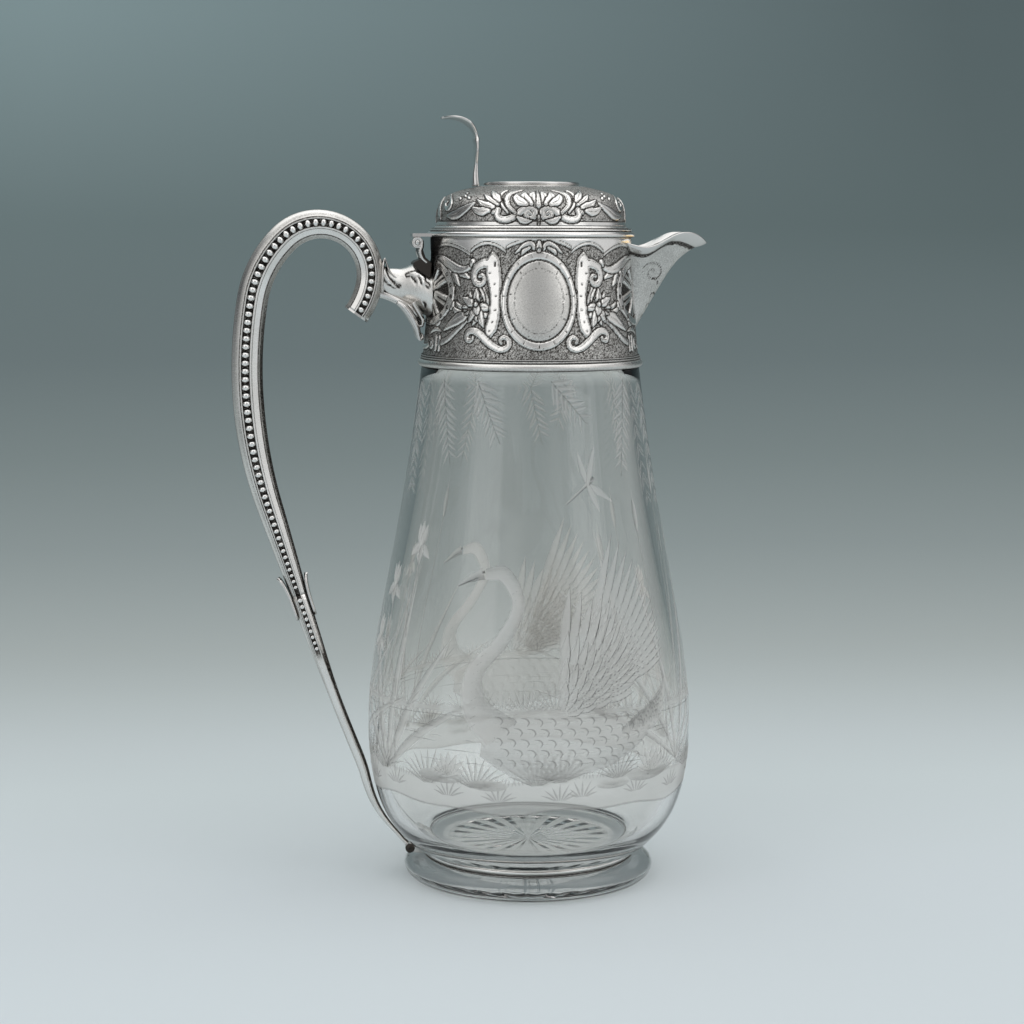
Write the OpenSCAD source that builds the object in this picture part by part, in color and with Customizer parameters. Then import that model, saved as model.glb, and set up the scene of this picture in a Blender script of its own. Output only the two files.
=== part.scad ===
// Silver-mounted glass claret jug. Millimetres, +Z up, spout along +X, handle along -X.
// The origin is the centre of the glass foot's resting face.

/* [Glass] */
// Radius of the bowl at its widest
belly_r = 59.75; // [56:0.25:62]
// Height of the widest place
belly_z = 56.5; // [52:0.5:62]
// Radius of the bowl where the silver collar starts
shoulder_r = 39.9; // [39:0.1:41]
// Height where the silver collar starts
shoulder_z = 190; // [180:1:200]
// Thickness of the blown wall
glass_wall = 3.6; // [3:0.1:4]
// Thickness of the glass neck that stands inside the collar
neck_wall = 2.6; // [2:0.1:3]
// Height of the glass neck above the start of the collar
neck_h = 21; // [15:0.5:24]
// Height of the inside bottom of the bowl above the table
floor_z = 14; // [13:0.25:17]
// Radius of the foot at its widest
foot_r = 46.6; // [45:0.1:50]
// Radius of the foot's resting face
rest_r = 42.5; // [38:0.5:44]
// Height of the foot's widest place
foot_edge_z = 4; // [3:0.25:4.5]
// Radius of the groove between foot and bowl
groove_r = 38.4; // [36:0.1:38.4]

/* [Collar] */
// Outside radius of the collar at its top edge
collar_top_r = 36.7; // [36:0.1:37.5]
// Height of the collar from its lower edge to its top edge
collar_h = 46.9; // [45:0.1:52]
// Thickness of the silver sheet of collar, spout and lid
sheet_t = 0.9; // [0.7:0.05:1]
// How far the moulding at the collar's foot stands out past the bowl's shoulder
moulding_over = 1.3; // [1.2:0.1:2.1]
// Height of the moulding at the collar's foot
moulding_h = 4.6; // [4:0.1:5]

/* [Spout] */
// Distance from the jug's axis to the tip of the spout's sheet
spout_reach = 64.6; // [61:0.2:67]
// Half width of the spout's mouth at the collar
spout_half_w = 15; // [13:0.1:16]
// Height of the spout from its foot to the collar's top edge
spout_h = 33; // [28:0.5:36]
// Height of the flat wire round the mouth of the spout
lip_h = 2.8; // [2:0.1:3.2]
// Thickness of that wire
lip_t = 1.4; // [1:0.1:1.7]

/* [Lid] */
// Distance that the lid's half-round edge stands out from the collar's top edge
flange_over = 1.1; // [0.9:0.1:1.7]
// Thickness of the half-round edge
flange_t = 2; // [1.8:0.1:2.4]
// Distance that the dome stands in from the collar's top edge
dome_in = 2.2; // [1.9:0.1:3.2]
// Height of the dome above the flange's cove
dome_h = 14.4; // [13:0.1:16]
// Depth of the bezel that drops into the collar
bezel_depth = 3.4; // [2.5:0.1:4]
// Running clearance between the bezel and the collar
bezel_gap = 0.35; // [0.3:0.05:0.5]
// Radius of the round plate on top of the lid
disc_r = 17.5; // [16:0.25:18]
// Thickness of the round plate with its rim
disc_t = 1.2; // [1:0.1:2]

/* [Thumbpiece] */
// Height of the thumbpiece above the dome's top
thumb_h = 25; // [22:0.1:26]
// Greatest width of the thumbpiece
thumb_w = 19; // [17:0.5:21]
// Thickness of the thumbpiece
thumb_t = 1.5; // [1.2:0.1:1.8]

/* [Hinge] */
// Diameter of the hinge pin
pin_d = 1.8; // [1.6:0.1:2]
// Running clearance round the pin, on the radius
pin_gap = 0.05; // [0.03:0.01:0.08]
// Outside diameter of the hinge knuckles
knuckle_d = 4.1; // [3.8:0.1:4.2]
// Length of the hinge over all its knuckles
hinge_w = 18.4; // [17:0.2:20]
// Length of the lid's own knuckle
lid_knuckle_w = 8; // [7:0.2:9]
// Distance from the collar's wall out to the pin
pin_out = 5.1; // [5:0.1:5.6]
// Thickness of the plate that joins lid and hinge
leaf_t = 1.15; // [1:0.05:1.3]

/* [Handle] */
// Distance from the collar's wall out to the handle's arch
bracket_reach = 17.1; // [15:0.1:20]
// Drop from the collar's top edge to the arch's centre
arch_drop = 13.65; // [12:0.1:16]
// Bend radius of the arch, on the bead line
arch_r = 18.7; // [17:0.1:20]
// Bend radius of the hooked end below the arch
hook_r = 27.4; // [24:0.2:32]
// Turn of the hooked end
hook_turn = 23.7; // [18:0.1:28]
// Bend radius of the shoulder between arch and grip
bend_r = 40.6; // [38:0.2:44]
// Bend radius of the grip
grip_r = 158; // [150:1:165]
// Turn of the grip
grip_turn = 27.5; // [26:0.1:29]
// Straight length below the grip
tail_len = 35; // [30:0.5:38]
// Thickness of the handle from side to side
handle_t = 10.4; // [9.6:0.1:11.2]
// Width from the bead line to the handle's outer edge
outer_w = 5; // [4.6:0.1:5.6]
// Width from the bead line to the handle's inner edge
inner_w = 6.2; // [5.6:0.1:6.8]
// Width of the channel that holds the beads
channel_w = 3; // [2.8:0.1:3.2]
// Depth of the channel
channel_deep = 1.2; // [1:0.1:1.4]
// Wall of the hollow handle
handle_wall = 0.9; // [0.8:0.05:1.1]
// Spacing of the beads where the handle is full
bead_pitch = 2.95; // [2.7:0.05:3.2]

/* [Stem] */
// Thickness of the stem below the leaves
stem_t = 4; // [3.6:0.1:4.2]
// Thickness of the stem where it ends in the eye
stem_end_t = 1.5; // [1.3:0.1:1.7]
// Width of the eye and of the stem's end, along the bolt
eye_w = 3.2; // [3:0.1:3.6]
// Outside diameter of the eye, the lugs and the bolt's head
eye_d = 3.5; // [3.3:0.1:3.6]
// Diameter of the bolt through the eye
bolt_d = 1.8; // [1.6:0.1:1.9]
// Thickness of the leaves round the top of the stem
leaf_blade_t = 0.7; // [0.6:0.05:0.9]

/* [Foot ring] */
// Outside radius of the silver ring round the groove
ring_r = 40; // [39.8:0.1:40.4]
// Height of the ring
ring_h = 2.9; // [2.6:0.1:3]
// Distance from the ring out to the bolt
bolt_out = 4.7; // [4.6:0.1:5.2]

/* [Hidden] */
$fn = 96;
seat = 0.02;      // gap left in a soldered, cemented or bolted joint
air = 0.3;        // gap between pieces that pass close by
rest_gap = 0.05;  // gap between lid and collar when the lid is shut
big = 200;        // longer than anything that it cuts

// A cubic curve through its end points, as a list of points
function cubic(p, t) =
    pow(1 - t, 3) * p[0] + 3 * pow(1 - t, 2) * t * p[1] + 3 * (1 - t) * t * t * p[2] + t * t * t * p[3];
function curve(p, steps) = [for (i = [0:steps]) cubic(p, i / steps)];
function turned(list) = [for (i = [len(list) - 1:-1:0]) list[i]];
function after_first(list) = [for (i = [1:len(list) - 1]) list[i]];
function smooth(t) = let(u = min(1, max(0, t))) u * u * (3 - 2 * u);
function mix(a, b, t) = a + (b - a) * t;
function unit(v) = v / norm(v);

// Direction of a line of points at one of them, and the line as a strip of a given thickness
function tangent(line, i) = unit(line[min(i + 1, len(line) - 1)] - line[max(i - 1, 0)]);
function beside(line, shift) =
    [for (i = [0:len(line) - 1]) line[i] + shift * [tangent(line, i).y, -tangent(line, i).x]];
function strip(line, thickness) = concat(beside(line, thickness / 2), turned(beside(line, -thickness / 2)));

// Two grids of points, rows by cols, closed into one solid sheet
function grid(rows, cols, offset, flip) =
    [for (r = [0:rows - 2], c = [0:cols - 2])
        let(a = offset + r * cols + c, b = a + 1, d = a + cols, e = d + 1)
            each flip ? [[a, d, e], [a, e, b]] : [[a, e, d], [a, b, e]]];
function seam(p, q) =
    [for (i = [0:len(p) - 2]) each [[p[i], q[i + 1], p[i + 1]], [p[i], q[i], q[i + 1]]]];
module sheet(outer, inner, rows, cols) {
    n = rows * cols;
    foot = [for (c = [0:cols - 1]) c];
    head = [for (c = [0:cols - 1]) n - cols + c];
    left = [for (r = [0:rows - 1]) r * cols];
    right = [for (r = [0:rows - 1]) r * cols + cols - 1];
    function back(list) = [for (i = list) i + n];
    polyhedron(concat(outer, inner),
               concat(grid(rows, cols, 0, true), grid(rows, cols, n, false), seam(back(foot), foot),
                      seam(head, back(head)), seam(left, back(left)), seam(back(right), right)));
}

// Rings of points joined into a solid bar, or into a tube when inner rings are given
function hoops(count, n, offset, flip) =
    [for (r = [0:count - 2], c = [0:n - 1])
        let(a = offset + r * n + c, b = offset + r * n + (c + 1) % n, d = a + n, e = b + n)
            each flip ? [[a, b, e], [a, e, d]] : [[a, e, b], [a, d, e]]];
module bar(rings) {
    n = len(rings[0]);
    last = (len(rings) - 1) * n;
    polyhedron([for (ring = rings) each ring],
               concat(hoops(len(rings), n, 0, false), [[for (c = [0:n - 1]) c]],
                      [[for (c = [n - 1:-1:0]) last + c]]));
}
module tube(outer, inner) {
    n = len(outer[0]);
    m = len(outer) * n;
    last = m - n;
    polyhedron(concat([for (ring = outer) each ring], [for (ring = inner) each ring]),
               concat(hoops(len(outer), n, 0, false), hoops(len(outer), n, m, true),
                      [for (c = [0:n - 1]) let(b = (c + 1) % n) each [[c, b, b + m], [c, b + m, c + m]]],
                      [for (c = [0:n - 1]) let(a = last + c, b = last + (c + 1) % n)
                          each [[a, b + m, b], [a, a + m, b + m]]]));
}

// Heights that several pieces share
collar_top_z = shoulder_z + collar_h;
moulding_r = shoulder_r + moulding_over;
flange_r = collar_top_r + flange_over;
dome_r = collar_top_r - dome_in;
flange_z = collar_top_z + rest_gap;
cove_h = 2.1;
dome_z = flange_z + flange_t + cove_h;
dome_top_z = dome_z + dome_h;
ring_z = 7.9;
under_z = ring_z + ring_h + 0.2;

// ---------------------------------------------------------------- glass
// Outside of the bowl, from the groove over the foot to the collar
turn_r = ring_r + 4.4;
turn_z = under_z + 1.6;
belly_rise = shoulder_z - belly_z;
belly_in = belly_r - shoulder_r;
low_pull = 0.262;   // how far the curve leaves the widest place upright, as a share of the rise
high_pull = 0.532;  // the same for its upper end
high_lean = 0.433;  // how far the upper end leans out, as a share of the narrowing
underside = [[groove_r, under_z], [groove_r + 3, under_z + 0.1], [turn_r - 1.2, turn_z - 1.1],
             [turn_r, turn_z]];
foot_lean = 0.554;  // how far the curve under the belly leans out first, as a share of the widening
foot_pull = 0.182;  // how far it has climbed there, as a share of its height
round_pull = 0.615; // how far below the widest place it is upright, as a share of its height
belly_low = [[turn_r, turn_z], [mix(turn_r, belly_r, foot_lean), mix(turn_z, belly_z, foot_pull)],
             [belly_r, mix(belly_z, turn_z, round_pull)], [belly_r, belly_z]];
belly_high = [[belly_r, belly_z], [belly_r, belly_z + low_pull * belly_rise],
              [shoulder_r + high_lean * belly_in, shoulder_z - high_pull * belly_rise],
              [shoulder_r, shoulder_z]];
bowl_line = concat(curve(underside, 4), after_first(curve(belly_low, 12)),
                   after_first(curve(belly_high, 14)));
function bowl_r(z) = lookup(z, [for (p = bowl_line) [p.y, p.x]]);

// Outside of the collar; the glass neck inside it tapers alike
collar_waist = 0.7;  // how far the collar's curve pulls in below its mouth
collar_line = curve([[shoulder_r, shoulder_z + seat],
                     [shoulder_r - 0.4, mix(shoulder_z, collar_top_z, 0.213)],
                     [collar_top_r - collar_waist, mix(shoulder_z, collar_top_z, 0.723)],
                     [collar_top_r, collar_top_z]], 14);
function collar_r(z) = lookup(z, [for (p = collar_line) [p.y, p.x]]);
cement_t = 0.55;
neck_low_z = shoulder_z + 1;
neck_top_z = shoulder_z + neck_h;
neck_heights = [neck_low_z, mix(neck_low_z, neck_top_z, 0.5), neck_top_z];
function neck_r(z) = lookup(z, [for (h = neck_heights) [h, collar_r(h) - sheet_t - cement_t - 2 * seat]]);

module glass_body() {
    foot_line = [[0, 0], [rest_r, 0], [mix(rest_r, foot_r, 0.75), foot_edge_z * 0.3], [foot_r, foot_edge_z],
                 [foot_r - 0.5, foot_edge_z + 1.5], [foot_r - 2, foot_edge_z + 2.1],
                 [groove_r, ring_z - 0.2]];
    neck_out = [for (z = neck_heights) [neck_r(z), z]];
    neck_in = [for (z = neck_heights) [neck_r(z) - neck_wall, z]];
    inside_r = belly_r - glass_wall;
    inside_high = curve([[shoulder_r - glass_wall, shoulder_z - 6],
                         [shoulder_r + 0.8 * high_lean * belly_in - glass_wall,
                          shoulder_z - high_pull * belly_rise],
                         [inside_r, belly_z + low_pull * belly_rise], [inside_r, belly_z]], 12);
    inside_low = curve([[inside_r, belly_z], [inside_r, mix(belly_z, floor_z, 0.67)],
                        [inside_r * 0.82, floor_z], [inside_r * 0.535, floor_z]], 12);
    color("lightcyan", 0.5)
        rotate_extrude()
            polygon(concat(foot_line, bowl_line, [[neck_r(neck_low_z), shoulder_z]], neck_out,
                           turned(neck_in), inside_high, after_first(inside_low), [[0, floor_z]]));
}

module neck_cement() {
    heights = [neck_low_z + 1, neck_heights[1], neck_top_z - 1];
    color("ivory")
        rotate_extrude()
            polygon(concat([for (z = heights) [neck_r(z) + seat, z]],
                           turned([for (z = heights) [neck_r(z) + cement_t - 4 * seat, z]])));
}

// ---------------------------------------------------------------- collar
// A solid that follows the collar's outside, to cut what is soldered on it
module collar_form(from_z, to_z) {
    heights = concat([from_z], [for (p = collar_line) if (p.y > from_z && p.y < to_z) p.y], [to_z]);
    rotate_extrude()
        polygon(concat([[0, from_z]], [for (z = heights) [collar_r(z) + seat, z]], [[0, to_z]]));
}

// Half width of the spout where it meets the collar, at a given height
spout_foot_z = collar_top_z - spout_h;
function spout_w(z) =
    let(f = (z - spout_foot_z) / spout_h) spout_half_w * (0.2 + 0.25 * f + 0.55 * pow(max(0, f), 3));

module collar_sleeve() {
    steps = 8;
    edge = 2 * sheet_t;
    heights = [for (i = [0:steps]) mix(spout_foot_z + 3, collar_top_z + 1, i / steps)];
    opening = concat([for (z = heights) [edge - spout_w(z), z]],
                     turned([for (z = heights) [spout_w(z) - edge, z]]));
    inner = [for (p = collar_line) [p.x - sheet_t, p.y]];
    color("silver")
        difference() {
            rotate_extrude() polygon(concat(collar_line, turned(inner)));
            rotate([90, 0, 90]) linear_extrude(big) polygon(opening);
        }
}

// A thick half-round wire with a thin reed above it
function half_round(x, z, r, steps) =
    [for (i = [0:steps]) [x + r * cos(180 * i / steps - 90), z + r * sin(180 * i / steps - 90)]];
module collar_moulding() {
    inner_r = shoulder_r + seat;
    round_r = moulding_h * 0.31;
    reed_r = moulding_h * 0.16;
    edge_r = moulding_r - round_r;
    low_z = shoulder_z + 0.1;
    top_z = shoulder_z + moulding_h;
    face = concat(half_round(edge_r, low_z + round_r, round_r, 12),
                  half_round(edge_r + 0.2, top_z - reed_r, reed_r, 8));
    color("silver")
        rotate_extrude()
            polygon(concat([[inner_r, low_z]], [for (p = face) if (p.x > inner_r) p], [[inner_r, top_z]]));
}

// ---------------------------------------------------------------- spout
// Top edge of the mouth, by its share of the way from collar to tip: it dips, swells and drops
dip = -3.1;
swell = 2.1;
swell_at = 0.74;
tip_fall = 56;  // how fast the edge falls from the swell to the tip
function mouth_z(f) =
    collar_top_z
    + (f < swell_at ? mix(dip, swell, smooth((f - 0.24) / 0.46)) + 1.5 * pow(max(0, 1 - f / 0.22), 1.5)
                    : swell - tip_fall * pow(f - swell_at, 2));
function keel_x(up) =
    collar_r(spout_foot_z) + (spout_reach - collar_r(spout_foot_z)) * (0.7 * up + 0.3 * pow(up, 8));

// Plan of the spout at a share of its height: c goes from -1 at one root over 0 at the tip to 1
function spout_plan(c, up) =
    let(z = mix(spout_foot_z, collar_top_z, up), w = spout_w(z),
        root_x = sqrt(pow(collar_r(z), 2) - w * w) - 1)
    [mix(root_x, keel_x(up), cos(90 * c)), w * sign(c) * pow(abs(sin(90 * c)), 1.25)];
function spout_point(c, up, out) =
    let(step = 0.02, here = spout_plan(c, up),
        along = unit(spout_plan(min(1, c + step), up) - spout_plan(max(-1, c - step), up)),
        place = here + out * [along.y, -along.x])
    [place.x, place.y, mix(spout_foot_z, mouth_z(cos(90 * c)), up)];
function spout_grid(ups, cols, out) =
    [for (up = ups, i = [0:cols - 1]) spout_point(2 * i / (cols - 1) - 1, up, out)];

spout_cols = 29;
lip_low = 1 - lip_h / spout_h;
lip_ups = [lip_low, mix(lip_low, 1, 0.5), 1];
module spout_body() {
    low_rows = 9;
    ups = concat([for (i = [0:low_rows - 1]) lip_low * (1 - pow(1 - i / low_rows, 1.3))], lip_ups);
    rows = len(ups);
    color("silver")
        difference() {
            sheet(spout_grid(ups, spout_cols, 0), spout_grid(ups, spout_cols, -sheet_t), rows, spout_cols);
            collar_form(spout_foot_z - 5, collar_top_z + 5);
        }
}

module spout_lip() {
    round_out = [lip_t * 0.6, lip_t, lip_t * 0.6];
    outer = [for (k = [0:2]) each spout_grid([lip_ups[k]], spout_cols, seat + round_out[k])];
    color("silver")
        difference() {
            sheet(outer, spout_grid(lip_ups, spout_cols, seat), len(lip_ups), spout_cols);
            collar_form(spout_foot_z, collar_top_z + 5);
        }
}

// ---------------------------------------------------------------- hinge
pin_z = flange_z - knuckle_d / 2;
pin_x = -collar_r(pin_z) - pin_out;
leaf_z = flange_z + 0.1;

// A cylinder along the hinge's or the bolt's line, between two distances from the middle
module rod(x, z, d, from_y, to_y) {
    translate([x, to_y, z]) rotate([90, 0, 0]) cylinder(d = d, h = to_y - from_y);
}
module plate(outline, from_y, to_y) {
    translate([0, to_y, 0]) rotate([90, 0, 0]) linear_extrude(to_y - from_y) polygon(outline);
}

// The two fixed knuckles and the arm under them, soldered on the collar and on the handle's bracket
step_x = pin_x - 1.5;
step_z = pin_z - 8.4;
arm_foot_x = 1.5 - collar_r(pin_z);
arm_slope = 4.6;
module hinge_bracket() {
    half = hinge_w / 2;
    inner = lid_knuckle_w / 2 + 0.15;
    arm = [[pin_x - 1.3, pin_z - 1.4], [pin_x + 0.3, pin_z - 3.6], [pin_x + 1.2, pin_z - 6.2],
           [step_x, pin_z - 7.1], [step_x, step_z], [arm_foot_x, step_z - arm_slope],
           [arm_foot_x, pin_z - 5], [pin_x + 1.9, pin_z + 0.4]];
    color("dimgray")
        difference() {
            union() {
                plate(arm, -half, half);
                rod(pin_x, pin_z, knuckle_d, -half, half);
            }
            rod(pin_x, pin_z, pin_d + 2 * pin_gap, -half - 1, half + 1);
            rod(pin_x, pin_z, knuckle_d + 2 * air, -inner, inner);
            collar_form(shoulder_z, collar_top_z + 1);
        }
}

module hinge_pin() {
    color("silver") rod(pin_x, pin_z, pin_d, -hinge_w / 2, hinge_w / 2);
}

// Plate on the lid's edge with the middle knuckle below it
module lid_hinge_leaf() {
    half = lid_knuckle_w / 2;
    web = knuckle_d * 0.3;
    color("silver")
        difference() {
            union() {
                translate([pin_x - knuckle_d / 2 + 0.2, -hinge_w / 2, leaf_z])
                    cube([pin_out + 4, hinge_w, leaf_t]);
                rod(pin_x, pin_z, knuckle_d, -half, half);
                translate([pin_x - web, -half, pin_z])
                    cube([2 * web, 2 * half, leaf_z - pin_z + leaf_t / 2]);
            }
            rod(pin_x, pin_z, pin_d + 2 * pin_gap, -half - 1, half + 1);
            translate([0, 0, leaf_z - 1]) cylinder(r = flange_r + seat, h = leaf_t + 2);
        }
}

// ---------------------------------------------------------------- lid
module lid_flange() {
    round_r = flange_t / 2;
    wire_r = 0.55;
    wire_out = flange_r - 1.1;
    top_z = flange_z + flange_t;
    inner_r = dome_r - sheet_t;
    cove = curve([[wire_out, top_z + 2 * wire_r], [dome_r + 1, top_z + 2 * wire_r],
                  [dome_r + 0.3, top_z + 1.4], [dome_r, dome_z - seat]], 5);
    color("silver")
        rotate_extrude() {
            translate([flange_r - round_r, flange_z + round_r]) circle(round_r);
            translate([wire_out - wire_r, top_z + wire_r]) circle(wire_r);
            translate([inner_r, flange_z]) square([flange_r - round_r - inner_r, flange_t]);
            polygon(concat([[inner_r, top_z - 0.1], [wire_out - wire_r, top_z - 0.1]],
                           [[wire_out - wire_r, top_z + 2 * wire_r]], after_first(cove),
                           [[inner_r, dome_z - seat]]));
        }
}

module lid_bezel() {
    low_z = flange_z - bezel_depth;
    outer_r = min(collar_r(low_z), collar_r(collar_top_z)) - sheet_t - bezel_gap;
    color("silver")
        translate([0, 0, low_z])
            rotate_extrude() translate([outer_r - sheet_t, 0]) square([sheet_t, bezel_depth - seat]);
}

dome_line = curve([[dome_r, dome_z], [dome_r + 0.4, dome_z + dome_h * 0.79],
                   [dome_r * 0.87, dome_z + dome_h * 0.83], [disc_r + 1, dome_top_z]], 14);
module lid_dome() {
    inner = beside(dome_line, -sheet_t);
    inside_top = dome_top_z - sheet_t;
    color("silver")
        rotate_extrude()
            polygon(concat([[dome_r - sheet_t, dome_z]], dome_line, [[0, dome_top_z], [0, inside_top]],
                           turned([for (p = inner) if (p.y < inside_top && p.y > dome_z + 0.1) p])));
}

module lid_disc() {
    rim_w = 1;
    well = 0.4;
    base_z = dome_top_z + seat;
    color("silver")
        rotate_extrude()
            polygon([[0, base_z], [disc_r, base_z], [disc_r, base_z + disc_t],
                     [disc_r - rim_w, base_z + disc_t],
                     [disc_r - rim_w - 0.3, base_z + disc_t - well], [0, base_z + disc_t - well]]);
}

// The strap stands just behind the round plate, leans, and curls back over the hinge
thumb_x = -disc_r - 2.2;
thumb_foot_z = lookup(disc_r + 1.9, turned(dome_line)) + seat;
thumb_curl = 13;
thumb_line = let(top = thumb_foot_z + thumb_h)
    concat(curve([[thumb_x, thumb_foot_z], [thumb_x - 1, thumb_foot_z + thumb_h * 0.36],
                  [thumb_x + 0.4, thumb_foot_z + thumb_h * 0.5], [thumb_x - 0.7, top - 6.2]], 10),
           after_first(curve([[thumb_x - 0.7, top - 6.2], [thumb_x - 1.8, top - 2.2],
                              [thumb_x - thumb_curl * 0.5, top + 0.5],
                              [thumb_x - thumb_curl, top - 0.8]], 10)));
// Half width along the strap: a waist, a pair of shoulders, and a broad rounded end
function thumb_half(t) =
    thumb_w * (0.2 - 0.07 * smooth(t / 0.12) + 0.2 * smooth((t - 0.16) / 0.16)
               - 0.07 * smooth((t - 0.38) / 0.08) + 0.24 * smooth((t - 0.46) / 0.2))
    * sqrt(max(0.12, 1 - pow(max(0, t - 0.78) / 0.22, 2)));

module thumbpiece() {
    last = len(thumb_line) - 1;
    rings = [for (i = [0:last])
        let(t = i / last, w = thumb_half(t), n = [tangent(thumb_line, i).y, -tangent(thumb_line, i).x],
            front = thumb_line[i] + n * thumb_t / 2,
            back = thumb_line[i] - n * (thumb_t / 2 + 1.2 * smooth(1 - t / 0.2)))
        [[front.x, -w, front.y], [front.x, w, front.y], [back.x, w, back.y], [back.x, -w, back.y]]];
    color("silver") bar(rings);
}

// ---------------------------------------------------------------- handle
// A pose is [x, z, heading]; the line turns left, so its outer side lies to the right
arch_x = -collar_top_r - bracket_reach - outer_w * 0.86 - arch_r;
arch_z = collar_top_z - arch_drop;
arch_from = -11.5;
arch_turn = 145.4;
bend_turn = 36.5;
function bend(p, r, turn) =
    [p[0] + r * (sin(p[2] + turn) - sin(p[2])), p[1] + r * (cos(p[2]) - cos(p[2] + turn)), p[2] + turn];
function ahead(p, len) = [p[0] + len * cos(p[2]), p[1] + len * sin(p[2]), p[2]];

arch_start = [arch_x + arch_r * cos(arch_from), arch_z + arch_r * sin(arch_from), arch_from + 90];
hook_end = bend(arch_start, hook_r, -hook_turn);
arch_end = bend(arch_start, arch_r, arch_turn);
grip_start = bend(arch_end, bend_r, bend_turn);
grip_end = bend(grip_start, grip_r, grip_turn);
tail_end = ahead(grip_end, tail_len);
function arc_len(r, turn) = r * turn * PI / 180;
hook_stop = arc_len(hook_r, hook_turn);
arch_stop = hook_stop + arc_len(arch_r, arch_turn);
bend_stop = arch_stop + arc_len(bend_r, bend_turn);
grip_stop = bend_stop + arc_len(grip_r, grip_turn);
handle_len = grip_stop + tail_len;
function pose(d) =
    d < hook_stop ? bend(hook_end, hook_r, d / arc_len(hook_r, 1))
    : d < arch_stop ? bend(arch_start, arch_r, (d - hook_stop) / arc_len(arch_r, 1))
    : d < bend_stop ? bend(arch_end, bend_r, (d - arch_stop) / arc_len(bend_r, 1))
    : d < grip_stop ? bend(grip_start, grip_r, (d - bend_stop) / arc_len(grip_r, 1))
    : ahead(grip_end, d - grip_stop);

// The handle is full at the grip and slimmer at both ends
hook_girth = 0.86;
tail_girth = 0.55;
function girth(d) =
    1 - (1 - hook_girth) * smooth((1.05 - d / arch_stop) / 0.58)
      - (1 - tail_girth) * pow(max(0, (d / handle_len - 0.62) / 0.38), 1.6);

// One side of the section: [distance out from the bead line, distance from the middle plane]
side_z = handle_t / 2;
floor_y = side_z - channel_deep;
half_section = [[outer_w, side_z * 0.38], [outer_w * 0.72, side_z * 0.83], [channel_w / 2 + 0.2, side_z],
                [channel_w / 2, floor_y], [-channel_w / 2, floor_y], [-channel_w / 2 - 0.2, side_z],
                [-inner_w * 0.74, side_z * 0.77], [-inner_w, side_z * 0.36]];
function both_sides(half) = concat(half, turned([for (p = half) [p.x, -p.y]]));
outline = both_sides(half_section);
hollow = both_sides([for (p = half_section)
    [abs(p.x) > channel_w / 2 + 0.5 ? p.x - sign(p.x) * handle_wall : p.x,
     min(p.y - handle_wall * 0.6, floor_y - handle_wall)]]);
// A section's point carried to a pose
function carry(q, p) = [p[0] + q.x * sin(p[2]), q.y, p[1] - q.x * cos(p[2])];

handle_rings = 46;
stations = [for (i = [0:handle_rings]) handle_len * i / handle_rings];
module handle_shell() {
    color("silver")
        tube([for (d = stations) [for (q = outline) carry(q * girth(d), pose(d))]],
             [for (d = stations) [for (q = hollow) carry(q * girth(d), pose(d))]]);
}

module handle_end_cap() {
    cap_t = 0.8;
    color("silver")
        translate([hook_end[0], 0, hook_end[1]])
            rotate([0, 90 - hook_end[2], 0])
                translate([0, 0, -cap_t - seat])
                    linear_extrude(cap_t) polygon([for (q = outline) q * girth(0)]);
}

// The balls shrink with the channel and close up with it
function bead_run(d) = d > handle_len - 1.5 ? [] : concat([d], bead_run(d + bead_pitch * sqrt(girth(d))));
module bead_row(side) {
    color("gainsboro")
        for (d = bead_run(1.8)) {
            r = channel_w * girth(d) * 0.4;
            translate([pose(d)[0], side * (floor_y * girth(d) + r + seat), pose(d)[1]]) sphere(r, $fn = 24);
        }
}
module bead_row_front() bead_row(-1);
module bead_row_rear() bead_row(1);

// Leafy socket that carries the arch on the collar, below the hinge's arm
module handle_bracket() {
    rows = 12;
    sides = 20;
    foot_x = arch_x + arch_r;
    head_x = 1.5 - collar_top_r;
    arch_face = [for (d = stations) if (d < arch_stop * 0.8)
        let(p = carry([outer_w * girth(d) + 2 * seat, 0], pose(d))) [p.x, p.z]];
    above = [[step_x - seat, step_z + big], [step_x - seat, step_z - seat],
             [arm_foot_x, step_z - arm_slope - seat], [0, step_z - arm_slope - seat], [0, step_z + big]];
    rings = [for (i = [0:rows])
        let(t = i / rows, x = mix(foot_x, head_x, t),
            top = arch_z + arch_r * (0.35 - 0.22 * smooth(t / 0.3) + 0.12 * smooth((t - 0.4) / 0.3)),
            low = arch_z - arch_r * (0.41 + 0.72 * pow(t, 1.6)),
            half = mix(handle_t * 0.2, hinge_w * 0.58, smooth((t - 0.2) / 0.8)))
        [for (k = [0:sides - 1])
            let(a = 360 * k / sides)
            [x, half * cos(a), (top + low) / 2 + (top - low) / 2 * sign(sin(a)) * pow(abs(sin(a)), 0.8)]]];
    color("silver")
        difference() {
            bar(rings);
            plate(concat([[arch_face[0].x - handle_t, arch_face[0].y]], arch_face), -big / 2, big / 2);
            collar_form(shoulder_z, collar_top_z + 1);
            plate(above, -big / 2, big / 2);
        }
}

// ---------------------------------------------------------------- stem and foot ring
bolt_x = -ring_r - bolt_out;
bolt_z = ring_z + 2.3;
stem_rings = 18;
stem_curve = let(p = [tail_end[0], tail_end[1]], eye = [bolt_x, bolt_z])
    [p, p + 55 * [cos(tail_end[2]), sin(tail_end[2])], eye + 17 * [-0.62, 0.78], eye];
// Half thickness in the jug's plane and half width across it, by share of the stem's length
function stem_half(t) = mix(stem_t, stem_end_t, smooth((t - 0.45) / 0.5)) / 2;
function stem_side(t) = mix(stem_t * 0.95, eye_w, smooth((t - 0.5) / 0.5)) / 2;
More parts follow.
